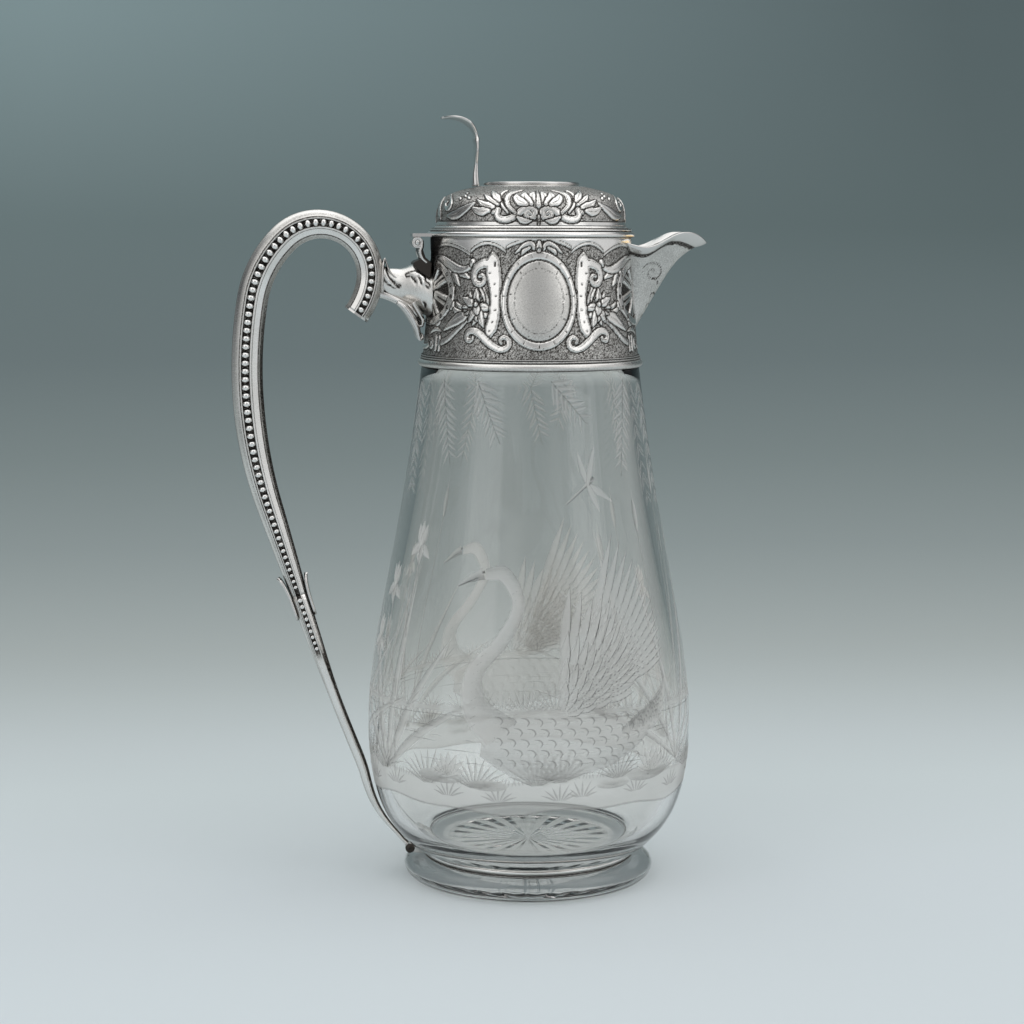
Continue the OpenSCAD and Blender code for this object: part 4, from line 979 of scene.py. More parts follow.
# ------------------------------------------------------------------ thumbpiece
# A cast strap that stands behind the round plate and curls back over the hinge. It has a waist,
# a pair of small shoulders and a broad rounded end.
def bar(name, rings, finish):
    """A solid bar through rings of points, closed at both ends."""
    ends = [np.repeat(ring.mean(0)[None], len(ring), 0)[None] for ring in (rings[0], rings[-1])]
    made = sheet_of_points(name, np.concatenate([ends[0], rings, ends[1]]), finish, closed_cols=True)
    merge(made)
    return made


def turned_out(line):
    """Unit vectors to the right of a line, point by point."""
    d = np.gradient(line, axis=0)
    d /= np.linalg.norm(d, axis=1, keepdims=True)
    return np.stack([d[:, 1], -d[:, 0]], -1)


THUMB_X, THUMB_Z, THUMB_H, THUMB_W, THUMB_T = -19.7, 255.28, 25.0, 19.0, 1.5
top = THUMB_Z + THUMB_H
thumb_line = joined(bezier([(THUMB_X, THUMB_Z), (THUMB_X - 1, THUMB_Z + 9), (THUMB_X + 0.4, THUMB_Z + 12.5),
                            (THUMB_X - 0.7, top - 6.2)], 40),
                    bezier([(THUMB_X - 0.7, top - 6.2), (THUMB_X - 1.8, top - 2.2),
                            (THUMB_X - 6.5, top + 0.5), (THUMB_X - 13, top - 0.8)], 44))
t = np.linspace(0, 1, len(thumb_line))
half = THUMB_W * (0.2 - 0.07 * smooth(t / 0.12) + 0.2 * smooth((t - 0.16) / 0.16)
                  - 0.07 * smooth((t - 0.38) / 0.08) + 0.24 * smooth((t - 0.46) / 0.2))
half = half * np.sqrt(np.maximum(0.12, 1 - (np.maximum(0, t - 0.78) / 0.22) ** 2))
thick = THUMB_T / 2 * (1 - 0.35 * smooth((t - 0.75) / 0.25)) + 0.35 * np.exp(-((t - 0.42) / 0.025) ** 2)
right = turned_out(thumb_line)
a = np.linspace(0, 2 * math.pi, 48, endpoint=False)
wide = np.sign(np.cos(a)) * np.abs(np.cos(a)) ** 0.55
deep = np.sign(np.sin(a)) * np.abs(np.sin(a)) ** 0.7
back = 1 + 1.5 * smooth(1 - t / 0.2)[:, None] * (deep < 0)
spread = thick[:, None] * deep * back
rings = np.stack([thumb_line[:, :1] + right[:, :1] * spread, half[:, None] * wide,
                  thumb_line[:, 1:] + right[:, 1:] * spread], -1)
thumb = bar("thumb_strap", rings, polished)
on_lid(thumb, "polished_silver", "thumbpiece")

# ------------------------------------------------------------------ handle
# A hollow handle of sheet silver that springs from the collar, arches over and runs down to a
# thin stem. Each side has a channel with a row of small balls that shrink with the handle.
ARCH_X, ARCH_Z, ARCH_R = -76.8, 223.25, 18.7
HOOK_R, HOOK_TURN, ARCH_FROM, ARCH_TURN = 27.4, 23.7, -11.5, 145.4
BEND_R, BEND_TURN, GRIP_R, GRIP_TURN, TAIL_LEN = 40.6, 36.5, 158.0, 27.5, 35.0


def bend_on(place, r, turn):
    x, z, head = place
    a, b = math.radians(head), np.radians(head + turn)
    return x + r * (np.sin(b) - math.sin(a)), z + r * (math.cos(a) - np.cos(b)), head + turn


arch_start = (ARCH_X + ARCH_R * math.cos(math.radians(ARCH_FROM)),
              ARCH_Z + ARCH_R * math.sin(math.radians(ARCH_FROM)), ARCH_FROM + 90)
legs = [(bend_on(arch_start, HOOK_R, -HOOK_TURN), HOOK_R, HOOK_TURN), (arch_start, ARCH_R, ARCH_TURN)]
for r, turn in ((BEND_R, BEND_TURN), (GRIP_R, GRIP_TURN)):
    legs.append((bend_on(*legs[-1]), r, turn))
tail_from = bend_on(*legs[-1])
legs.append((tail_from, 1e5, math.degrees(TAIL_LEN / 1e5)))
lengths = [r * math.radians(turn) for start, r, turn in legs]
HANDLE_LEN, ARCH_STOP = sum(lengths), lengths[0] + lengths[1]


def handle_pose(d):
    """Place and heading on the handle's line at the distances d from its free end."""
    out = np.zeros((len(d), 3))
    start_d = 0.0
    for (start, r, turn), length in zip(legs, lengths):
        pick = (d >= start_d - 1e-9) & (d <= start_d + length + 1e-6)
        x, z, head = bend_on(start, r, np.degrees((d[pick] - start_d) / r))
        out[pick] = np.stack([x, z, head], -1)
        start_d += length
    return out


def girth(d):
    """The handle's size at the distances d: 1 at its fullest, less at its free end and down its tail."""
    slim = 0.45 * np.maximum(0, (d / HANDLE_LEN - 0.62) / 0.38) ** 1.6
    return 1 - 0.14 * smooth((1.05 - d / ARCH_STOP) / 0.58) - slim


def carried(section, places, size):
    """Rings of section points, (out, across), carried along the places."""
    head = np.radians(places[:, 2:])
    q = section[None] * size[:, None, None]
    return np.stack([places[:, :1] + q[..., 0] * np.sin(head), q[..., 1],
                     places[:, 1:2] - q[..., 0] * np.cos(head)], -1)


# half of the section as (out, across), crisp at its bends, then mirrored
half_section = [(5.0, 0.0), (5.0, 1.75), (4.86, 2.3), (3.75, 4.1), (2.55, 4.95), (2.35, 4.85), (2.2, 5.05),
                (1.8, 5.2), (1.62, 5.15), (1.5, 5.0), (1.5, 4.1), (1.4, 4.0), (-1.4, 4.0), (-1.5, 4.1),
                (-1.5, 5.0), (-1.62, 5.15), (-1.8, 5.2), (-2.15, 5.12), (-2.3, 4.88), (-2.5, 5.0),
                (-4.3, 4.2), (-4.45, 4.0), (-4.6, 3.75), (-4.75, 3.82), (-5.95, 2.2), (-6.15, 1.8),
                (-6.2, 0.0)]
half_section = np.array(half_section)
crisp = []
for a, b in zip(half_section, half_section[1:]):
    wide = np.linalg.norm(b - a) > 0.7
    crisp += [blend(a, b, share) for share in (0.06, 0.5, 0.94)] if wide else [a, b]
crisp = np.array([q for k, q in enumerate(crisp) if k == 0 or np.linalg.norm(q - crisp[k - 1]) > 1e-3])
section = np.vstack([crisp, (crisp * (1, -1))[::-1][1:-1]])
along = np.linspace(0, HANDLE_LEN, 260)
rings = carried(section, handle_pose(along), girth(along))
# painted shade and painted reflections: dark in the channels and grooves, light on the bevels, and dark along
# both edges
dark_lines = np.select([np.abs(section[:, 0]) < 1.55, np.isin(np.round(section[:, 0], 2),
                                                              (2.35, 2.2, -2.15, -2.3)),
                        np.abs(section[:, 0] + 4.62) < 0.2], [0.95, 0.8, 0.75], 0.0)
dark_lines *= np.abs(section[:, 1]) < 5.12
bevels = np.interp(section[:, 0], [-4.9, -4.3, 2.6, 2.9, 3.6, 4.2, 4.8],
                   [0.25, 0.1, 0.15, 0.42, 0.34, 0.08, 0.06])
inner_edge = np.interp(section[:, 0], [-6.2, -5.4, -4.9], [1, 1, 0])
outer_edge = np.interp(section[:, 0], [4.5, 4.86, 5.0], [0, 0.4, 1])
down = smooth((along[:, None] / HANDLE_LEN - 0.35) / 0.2)
handle_painted_shade = np.maximum(np.maximum(dark_lines, bevels), inner_edge * blend(0.35, 0.92, down))
handle_painted_shade = np.maximum(handle_painted_shade, outer_edge * 0.8)
shell = bar("handle_grip", rings, chased)
mark_near(shell, rings, handle_painted_shade)
on_jug(shell, "polished_silver", "handle_shell")

# ------------------------------------------------------------------ rows of balls
# Small silver balls soldered in the dark channel on each side, wider than they are long. They
# shrink as the handle narrows, and go on as flat lozenges down the top of the stem.
def ball_tree(finish):
    tree, given = new_tree("ball_row", {"Ball width": 2.6, "Ball length": 1.9, "Ball height": 2.3})
    ball = node(tree, "GeometryNodeMeshUVSphere", {"Segments": 20, "Rings": 12, "Radius": 0.5 * MM})
    size, turn = [node(tree, "GeometryNodeInputNamedAttribute", {"Name": label}, data_type="FLOAT").outputs[0]
                  for label in ("size", "turn")]
    spin = node(tree, "ShaderNodeCombineXYZ", {"Y": turn})
    form = node(tree, "ShaderNodeCombineXYZ", {"X": given.outputs["Ball length"],
                                               "Y": given.outputs["Ball height"],
                                               "Z": given.outputs["Ball width"]})
    scaled = node(tree, "ShaderNodeVectorMath", {0: form.outputs[0], "Scale": size}, operation="SCALE")
    row = node(tree, "GeometryNodeInstanceOnPoints", {"Points": given.outputs["Geometry"],
                                                      "Instance": ball.outputs["Mesh"],
                                                      "Rotation": spin.outputs[0],
                                                      "Scale": scaled.outputs[0]})
    close_tree(tree, row.outputs[0], finish)
    return tree


def ball_row(name, tree, places, turns, sizes, form):
    """A ball at each place, turned about Y and scaled. form says how wide, long and high a full one is."""
    base = mesh_of(name, places, [], None)
    put_values(base, "size", sizes)
    put_values(base, "turn", turns)
    return grown(name, base, tree, form)


BALL_PITCH, BALL_FLOOR = 2.95, 4.0
runs = [1.8]
while runs[-1] < HANDLE_LEN - 1.5 - BALL_PITCH:
    runs.append(runs[-1] + BALL_PITCH * math.sqrt(girth(np.array(runs[-1]))))
runs = np.array(runs)
poses = handle_pose(runs)
ball_silver = silver("ball_silver", (0.84, 0.83, 0.81), 0.14, 0.04)
balls = ball_tree(ball_silver)
for way, name, replaced in ((-1, "ball_row_front", "bead_row_front"), (1, "ball_row_rear", "bead_row_rear")):
    lift = way * (BALL_FLOOR + 1.05) * girth(runs)
    row = ball_row(name, balls, np.stack([poses[:, 0], lift, poses[:, 1]], -1), -np.radians(poses[:, 2]),
                   girth(runs), {"Ball width": 2.8, "Ball length": 2.3, "Ball height": 2.5})
    on_jug(row, "bright_beads", replaced)

# ------------------------------------------------------------------ stem and its leaves
# The handle ends in a solid stem that runs down past the bowl to an eye on the foot ring. Two
# thin leaves curl away from the handle where the stem begins.
def spindle(name, x, z, profile, finish, steps=48):
    """Turns a profile of (radius, distance along -Y) about a line across the jug."""
    made = lathe(name, profile, finish, steps)
    made.data.transform(Matrix.Translation((x * MM, 0, z * MM)) @ Matrix.Rotation(math.pi / 2, 4, "X"))
    return made


BOLT_X, BOLT_Z = -44.7, 10.2
tail_end = handle_pose(np.array([HANDLE_LEN]))[0]
head = math.radians(tail_end[2])
eye_spot = np.array([BOLT_X, BOLT_Z])
stem_line = bezier([tail_end[:2], tail_end[:2] + 55 * np.array([math.cos(head), math.sin(head)]),
                    eye_spot + 17 * np.array([-0.62, 0.78]), eye_spot], 72)
t = np.linspace(0, 1, len(stem_line))
half_t = blend(4.0, 1.5, smooth((t - 0.45) / 0.5)) / 2
half_w = blend(3.8, 3.2, smooth((t - 0.5) / 0.5)) / 2
clear = bowl_r(stem_line[:, 1]) + (half_t + 0.3) * blend(1, 1.45, smooth((t - 0.4) / 0.4))
# eased away from the bowl wherever the line would come closer than clear
apart = (stem_line[:, 0] + clear) / 2
stem_line[:, 0] = np.where(t > 0.97, stem_line[:, 0], stem_line[:, 0] - apart - np.sqrt(apart ** 2 + 0.5))
out = turned_out(stem_line)
out[0] = (math.sin(head), -math.cos(head))
# the handle's own section first, which melts into an oval rod
angle = np.linspace(0, 2 * math.pi, len(section), endpoint=False)
round_section = np.stack([np.cos(angle), np.sin(angle)], -1)
mixed = smooth(t / 0.3)[:, None, None]
oval_rod = round_section[None] * np.stack([half_t, half_w], -1)[:, None]
slim = section[None] * 0.55 * (1 - mixed) + oval_rod * mixed
rings = np.stack([stem_line[:, :1] + out[:, :1] * slim[..., 0], slim[..., 1],
                  stem_line[:, 1:] + out[:, 1:] * slim[..., 0]], -1)
stem = bar("handle_stem_rod", rings, chased)
fading = smooth((t - 0.125) / 0.05)[:, None]
# painted reflection down the stem: dark along its inner side, a little darker at its outer edge
streak = np.interp(np.cos(angle), [-1, -0.6, -0.4, 0.6, 1], [0.92, 0.9, 0.1, 0.08, 0.4])
mark_near(stem, rings, handle_painted_shade[-1] * (1 - fading) + streak * fading)
eye = spindle("stem_eye", BOLT_X, BOLT_Z,
              [(0.95, -1.6), (1.65, -1.6), (1.75, -1.4), (1.75, 1.4), (1.65, 1.6), (0.95, 1.6)], polished)
on_jug(stem, "polished_silver", "handle_stem")
on_jug(eye, "polished_silver")

LOZENGES = 9
spots = np.stack([np.interp(np.linspace(0.012, 0.135, LOZENGES), t, stem_line[:, k]) for k in (0, 1)], -1)
turns = -np.full(LOZENGES, head) - 0.02
for way, name in ((-1, "lozenges_front"), (1, "lozenges_rear")):
    lift = way * np.linspace(2.35, 1.85, LOZENGES)
    row = ball_row(name, balls, np.stack([spots[:, 0], lift, spots[:, 1]], -1), turns,
                   np.linspace(0.72, 0.62, LOZENGES), {"Ball width": 2.9, "Ball length": 2.3,
                                                       "Ball height": 1.5})
    on_jug(row, "bright_beads")


def curled_leaf(way, edge, tip):
    """A thin leaf beside the handle's foot, with a rounded, hollowed tip."""
    line = bezier([(9, edge + 0.4), (4.5, edge + 0.4), (tip[0] / 2, edge + 0.65), (tip[0], edge + tip[1])],
                  40)
    share = np.linspace(0, 1, 41)
    half = 2.7 * np.sqrt(np.clip(1 - share ** 6, 0.02, 1)) * smooth(share / 0.25 + 0.35)
    normal = turned_out(line)
    cols = np.linspace(-1, 1, 17)
    place = []
    for lay in (0.45, -0.45):
        q = line + normal * lay
        away = q[:, 1:] + 0 * cols - 0.5 * cols[None] ** 2 * smooth(share[:, None] * 1.2)
        along = q[:, :1] + 0 * cols
        x = tail_end[0] + along * math.cos(head) + way * away * math.sin(head)
        z = tail_end[1] + along * math.sin(head) - way * away * math.cos(head)
        place.append(np.stack([x, half[:, None] * cols[None], z], -1))
    return np.vstack([place[0], place[1][::-1]])


for way, name, edge, tip in ((1, "leaf_outer", 2.77, (-8.2, 2.6)), (-1, "leaf_inner", 3.43, (-7.0, 2.1))):
    leaf = sheet_of_points(name, curled_leaf(way, edge, tip), polished, closed_rows=True, fold=True,
                           flip=way < 0)
    on_jug(leaf, "polished_silver", *(("handle_leaves",) if way > 0 else ()))

# ------------------------------------------------------------------ foot ring
# A silver ring in the groove over the glass foot, split on the real jug but turned whole here, with a
# half-round above two thin reeds.
# Its lugs hold the stem's eye, and a short dark bolt with a round head goes through all three.
def slab(name, outline, from_y, to_y, finish, edge=0.12):
    """A flat piece with softened edges, cut to an outline of (x, z) points."""
    line = np.array(outline, float)
    if np.sum(line[:, 0] * np.roll(line[:, 1], -1) - line[:, 1] * np.roll(line[:, 0], -1)) < 0:
        line = line[::-1]
    d = np.roll(line, -1, 0) - line
    d /= np.linalg.norm(d, axis=1, keepdims=True)
    n = np.stack([d[:, 1], -d[:, 0]], -1)
    corner = n + np.roll(n, 1, 0)
    corner /= np.maximum((corner * n).sum(1, keepdims=True), 0.3)
    count = len(line)
    rows = [(from_y, edge), (from_y + edge, 0), (to_y - edge, 0), (to_y, edge)]
    points = np.vstack([np.insert(line - corner * inset, 1, y, axis=1) for y, inset in rows])
    faces = [[r * count + k, r * count + (k + 1) % count, (r + 1) * count + (k + 1) % count,
              (r + 1) * count + k] for r in range(3) for k in range(count)]
    faces += [list(range(count))[::-1], list(range(3 * count, 4 * count))]
    return mesh_of(name, points, [face[::-1] for face in faces], finish, smooth=False)


ring = lathe("foot_ring_band", np.vstack([
    [(38.45, RING_Z)], half_round(39.2, RING_Z + 0.32, 0.3, 8), half_round(39.15, RING_Z + 0.86, 0.22, 8),
    half_round(38.97, RING_Z + 1.95, 1.0, 18), [(38.45, RING_Z + 2.95)]]), chased)
# painted shade in the ring's grooves, and painted reflections darker at the half-round's lower edge and at
# its top
paint_groove_shade(ring, (RING_Z, RING_Z + 0.62, RING_Z + 1.05), np.array([1.0, 1.3, 2.3, 2.8, 2.95]) + RING_Z,
        (0.5, 0.1, 0.0, 0.35, 0.9))
on_jug(ring, "polished_silver", "foot_ring")
lug = [(-39.0, RING_Z + 0.2), (-39.0, RING_Z + 2.6)]
lug += [(BOLT_X + 1.75 * math.cos(a), BOLT_Z + 1.75 * math.sin(a)) for a in np.linspace(1.2, 4.9, 16)]
for name, from_y in (("ring_lug_front", -3.24), ("ring_lug_rear", 1.64)):
    on_jug(slab(name, lug, from_y, from_y + 1.6, polished), "polished_silver")
head_line = [(0.0, 4.5), (0.6, 4.47), (1.2, 4.35), (1.6, 4.05), (1.75, 3.7), (1.75, 3.3), (0.9, 3.28),
             (0.9, -4.75), (0.7, -4.9), (0.0, -4.92)]
bolt = spindle("ring_bolt_round", BOLT_X, BOLT_Z, head_line, dark)
on_jug(bolt, "dark_silver", "ring_bolt")
nut_line = [(0.95, -3.3), (1.6, -3.3), (1.75, -3.45), (1.75, -4.45), (1.6, -4.6), (0.95, -4.6)]
nut = spindle("ring_nut_hex", BOLT_X, BOLT_Z, nut_line, dark, 6)
nut.data.polygons.foreach_set("use_smooth", [False] * len(nut.data.polygons))
on_jug(nut, "dark_silver", "ring_nut")

# ------------------------------------------------------------------ hinge
# Two bright knuckles on an arm that is soldered to the collar and painted near-black as shade, a
# knuckle under the lid's small plate between them, and a pin with domed ends through all three.
PIN_X, PIN_Z = -41.74, 234.90
STEP_X, STEP_Z, ARM_FOOT_X = PIN_X - 1.5, PIN_Z - 8.4, -37.2


def knuckle(name, from_y, to_y):
    line = [(1.0, -from_y), (1.3, -from_y), (1.38, -from_y - 0.12), (1.46, -from_y), (1.85, -from_y),
            (2.05, -from_y - 0.2), (2.05, -to_y + 0.2), (1.85, -to_y), (1.0, -to_y)]
    return spindle(name, PIN_X, PIN_Z, line, polished)


def curl(name, points, radii, y, squash=1.6):
    """A small round-edged scroll of silver in a plane across the jug."""
    line = flow(points, 8)
    size = shared_out(radii, len(line))
    normal = turned_out(line)
    a = np.linspace(0, 2 * math.pi, 20, endpoint=False)
    place = line[:, None] + normal[:, None] * (size[:, None] * np.cos(a))[..., None]
    rings = np.stack([place[..., 0], y + squash * size[:, None] * np.sin(a), place[..., 1]], -1)
    return bar(name, rings, polished)


arm_line = [(PIN_X + 0.1, PIN_Z - 1.7), (PIN_X + 0.5, PIN_Z - 3.9), (PIN_X + 1.3, PIN_Z - 5.9),
            (PIN_X - 0.9, PIN_Z - 6.7), (STEP_X, PIN_Z - 7.3), (STEP_X, STEP_Z), (ARM_FOOT_X, STEP_Z - 4.6),
            (ARM_FOOT_X + 0.6, PIN_Z - 7.3), (PIN_X + 2.8, PIN_Z - 5.3), (PIN_X + 1.8, PIN_Z - 2.3),
            (PIN_X + 1.6, PIN_Z - 0.9)]
# the arm's near-black colour is painted shade
arm = slab("hinge_arm", arm_line, -8.9, 8.9, dark, 0.2)
on_jug(arm, "dark_silver", "hinge_bracket")
for name, from_y, to_y in (("knuckle_front", -9.2, -4.15), ("knuckle_rear", 4.15, 9.2)):
    on_jug(knuckle(name, from_y, to_y), "polished_silver")
for name, y in (("hinge_scroll_front", -8.3), ("hinge_scroll_rear", 8.3)):
    line = [(PIN_X + 1.7, PIN_Z + 0.8), (PIN_X + 1.5, PIN_Z - 1.4), (PIN_X + 0.9, PIN_Z - 3.2),
            (PIN_X + 1.7, PIN_Z - 5.6), (PIN_X + 3.4, PIN_Z - 7.2)]
    on_jug(curl(name, line, [0.5, 0.75, 0.85, 0.75, 0.5], y), "polished_silver")
pin_line = [(0, 9.5), (0.5, 9.42), (0.85, 9.2), (0.9, 9.0), (0.9, -9.0), (0.85, -9.2), (0.5, -9.42),
            (0, -9.5)]
on_jug(spindle("hinge_pin_round", PIN_X, PIN_Z, pin_line, polished, 32), "polished_silver", "hinge_pin")


# ------------------------------------------------------------------ leafy socket
# A hollow leaf of cast silver, soldered between the handle and the collar. Its tongue clasps the
# arch, its edges curl where they meet the collar, and a second leaf lies under it.
def socket_leaf(x, top, low, half):
    """Rings of a leaf between a top line and a low line, half as wide as given."""
    a = np.linspace(0, 2 * math.pi, 72, endpoint=False)
    body = (top + low)[:, None] / 2 + (top - low)[:, None] / 2 * np.sign(np.sin(a)) * np.abs(np.sin(a)) ** 0.8
    return np.stack([x[:, None] + 0 * a, half[:, None] * np.cos(a), body], -1), a


# it runs from the arch at x = -58.1 to the collar, 22.9 mm away; share says how far along a place is
t = np.linspace(0, 1, 90)
x = blend(-57.0, -36.4, t)
share = (x + 58.1) / 22.9
top = ARCH_Z + ARCH_R * (0.35 - 0.23 * smooth(share / 0.3) + 0.09 * smooth((share - 0.45) / 0.25)
                         - 0.12 * smooth((share - 0.74) / 0.2))
low = ARCH_Z - ARCH_R * (0.36 + 0.55 * share ** 1.5)
half = blend(2.1, 10.4, smooth((share - 0.2) / 0.8))
rings, a = socket_leaf(x, top, low, half)
relief = Chasing(rings[..., 0], rings[..., 2], ground=0.18)
relief.high += 0.25 * np.exp(-((relief.y - 221.0 + 0.25 * (relief.x + 48)) / 3.5) ** 2)
# hollows and grooves between the lobes of the leaf, and the raised scrolls on its sides
relief.cut([(-54.4, 218.1), (-51.4, 215.7), (-48.8, 213.6)], [0.35, 0.3, 0.08], 0.5, 1.0)
relief.cut([(-46.6, 211.9), (-44.2, 210.1), (-42.0, 208.9)], [0.08, 0.25, 0.3], 0.4, 1.0)
relief.strap([(-53.2, 229.4), (-53.8, 226.0), (-52.6, 221.8), (-50.2, 219.6), (-48.2, 219.3)],
             [0.5, 0.75, 0.7, 0.5, 0.15], 0.6)
relief.cut([(-51.2, 222.0), (-50.0, 220.4), (-48.4, 219.8)], [0.1, 0.5, 0.1], 0.4, 1.0)
relief.strap([(-45.4, 223.2), (-43.2, 223.6), (-41.2, 223.6), (-40.0, 222.4), (-39.6, 220.6), (-38.0, 219.6)],
             [0.3, 0.6, 0.75, 0.75, 0.6, 0.3], 0.7)
relief.cut([(-44.0, 222.6), (-43.2, 221.8), (-42.2, 220.6)], [0.15, 0.4, 0.3], 0.5, 1.0)
relief.cut([(-43.4, 217.2), (-41.8, 218.0), (-40.4, 218.9)], 0.07, 0.1, 0.6)
relief.cut([(-39.8, 213.6), (-39.0, 212.6), (-39.2, 211.4)], [0.1, 0.5, 0.2], 0.5, 1.0)
lift = relief.high.reshape(relief.shape) * np.abs(np.cos(a)) ** 0.5
rings[..., 1] += np.sign(np.cos(a)) * lift
socket = bar("leaf_socket", rings, chased)
mark_near(socket, rings, relief.ground)
on_jug(socket, "polished_silver", "handle_bracket")

x = blend(-56.0, -40.6, t)
share = (x + 58.1) / 22.9
top = ARCH_Z - ARCH_R * (0.24 + 0.56 * share ** 1.35)
low = ARCH_Z - ARCH_R * (0.43 + 0.88 * share ** 1.9)
half = blend(1.7, 8.6, smooth((share - 0.15) / 0.8)) * (1 - 0.25 * smooth((share - 0.62) / 0.15))
rings, a = socket_leaf(x, top, low, half)
on_jug(bar("under_leaf", rings, polished), "polished_silver")

lower_tip = [(-49.0, 213.6), (-46.3, 211.6), (-43.7, 208.0), (-42.0, 204.2), (-41.3, 201.3), (-40.6, 200.2),
             (-39.9, 200.9), (-40.2, 202.2)]
upper_tip = [(-43.4, 213.4), (-41.5, 210.2), (-40.0, 207.2), (-40.1, 205.3), (-41.0, 205.0), (-41.5, 205.8)]
for k, y in enumerate((-6.0, 0.0, 6.0)):
    tip = curl(f"under_leaf_tip_{k}", lower_tip, [0.9, 1.5, 1.6, 1.2, 0.9, 0.75, 0.6, 0.3], y, 2.2)
    on_jug(tip, "polished_silver")
    tip = curl(f"upper_leaf_tip_{k}", upper_tip, [1.2, 1.1, 0.85, 0.7, 0.55, 0.3], y * 0.97, 2.4)
    on_jug(tip, "polished_silver")
crest_line = [(-54.3, 217.0), (-54.3, 222.5), (-53.9, 226.6), (-53.3, 229.2), (-52.4, 226.6), (-51.4, 224.2),
              (-49.6, 222.4), (-47.4, 221.6)]
crest = curl("socket_crest", crest_line, [0.8, 0.8, 0.65, 0.3, 0.45, 0.55, 0.6, 0.5], 0.0, 6.0)
on_jug(crest, "polished_silver")

# ------------------------------------------------------------------ engraving
# The bowl is engraved all round with a copper wheel and left matt: a swan on a pond among
# irises, bulrushes and lilies, over a grassy bank, with willow twigs hanging from the collar.
PER_TURN = 52.0      # millimetres across the drawing for each radian round the bowl
ROUND = 2 * math.pi * PER_TURN


def matt_glass():
    """Cut and frosted glass. tone runs from the dark side of a cut to its light side, as painted shade and
    painted light, along with the drawing's own dark lines.
    """
    made, tree, shader, out = material("engraved_glass")
    place = own_place(tree)
    drawn = node(tree, "ShaderNodeMapping", {"Vector": place, "Scale": (90.0, 90.0, 1500.0)})
    brushed = calc(tree, "ADD", noise(tree, drawn.outputs[0], 1.0, 3.0), noise(tree, place, 1800.0, 2.0))
    streak = calc(tree, "MULTIPLY", calc(tree, "SUBTRACT", brushed, 1.0), 0.32)
    level = mapped(tree, calc(tree, "ADD", marked(tree, "tone"), streak), -1.0, 1.0)
    colour = ramp(tree, level, [(0.0, (0.02, 0.02, 0.02)), (0.2, (0.18, 0.18, 0.175)),
                                (0.42, (0.6, 0.6, 0.585)), (0.6, (0.83, 0.83, 0.81)),
                                (1.0, (0.97, 0.97, 0.95))])
    front = node(tree, "ShaderNodeBsdfDiffuse", {"Color": colour})
    through = node(tree, "ShaderNodeBsdfTranslucent", {"Color": colour})
    matt = node(tree, "ShaderNodeMixShader", {0: 0.5, 1: front.outputs[0], 2: through.outputs[0]})
    open_glass = node(tree, "ShaderNodeBsdfTransparent", {"Color": (1, 1, 1, 1)})
    cover = calc(tree, "MULTIPLY", marked(tree, "frost"), 0.75)
    both = node(tree, "ShaderNodeMixShader", {0: cover, 1: open_glass.outputs[0], 2: matt.outputs[0]})
    tree.nodes.remove(shader)
    fill(tree, out, {"Surface": both.outputs[0]})
    return made


dice = np.random.default_rng(11)


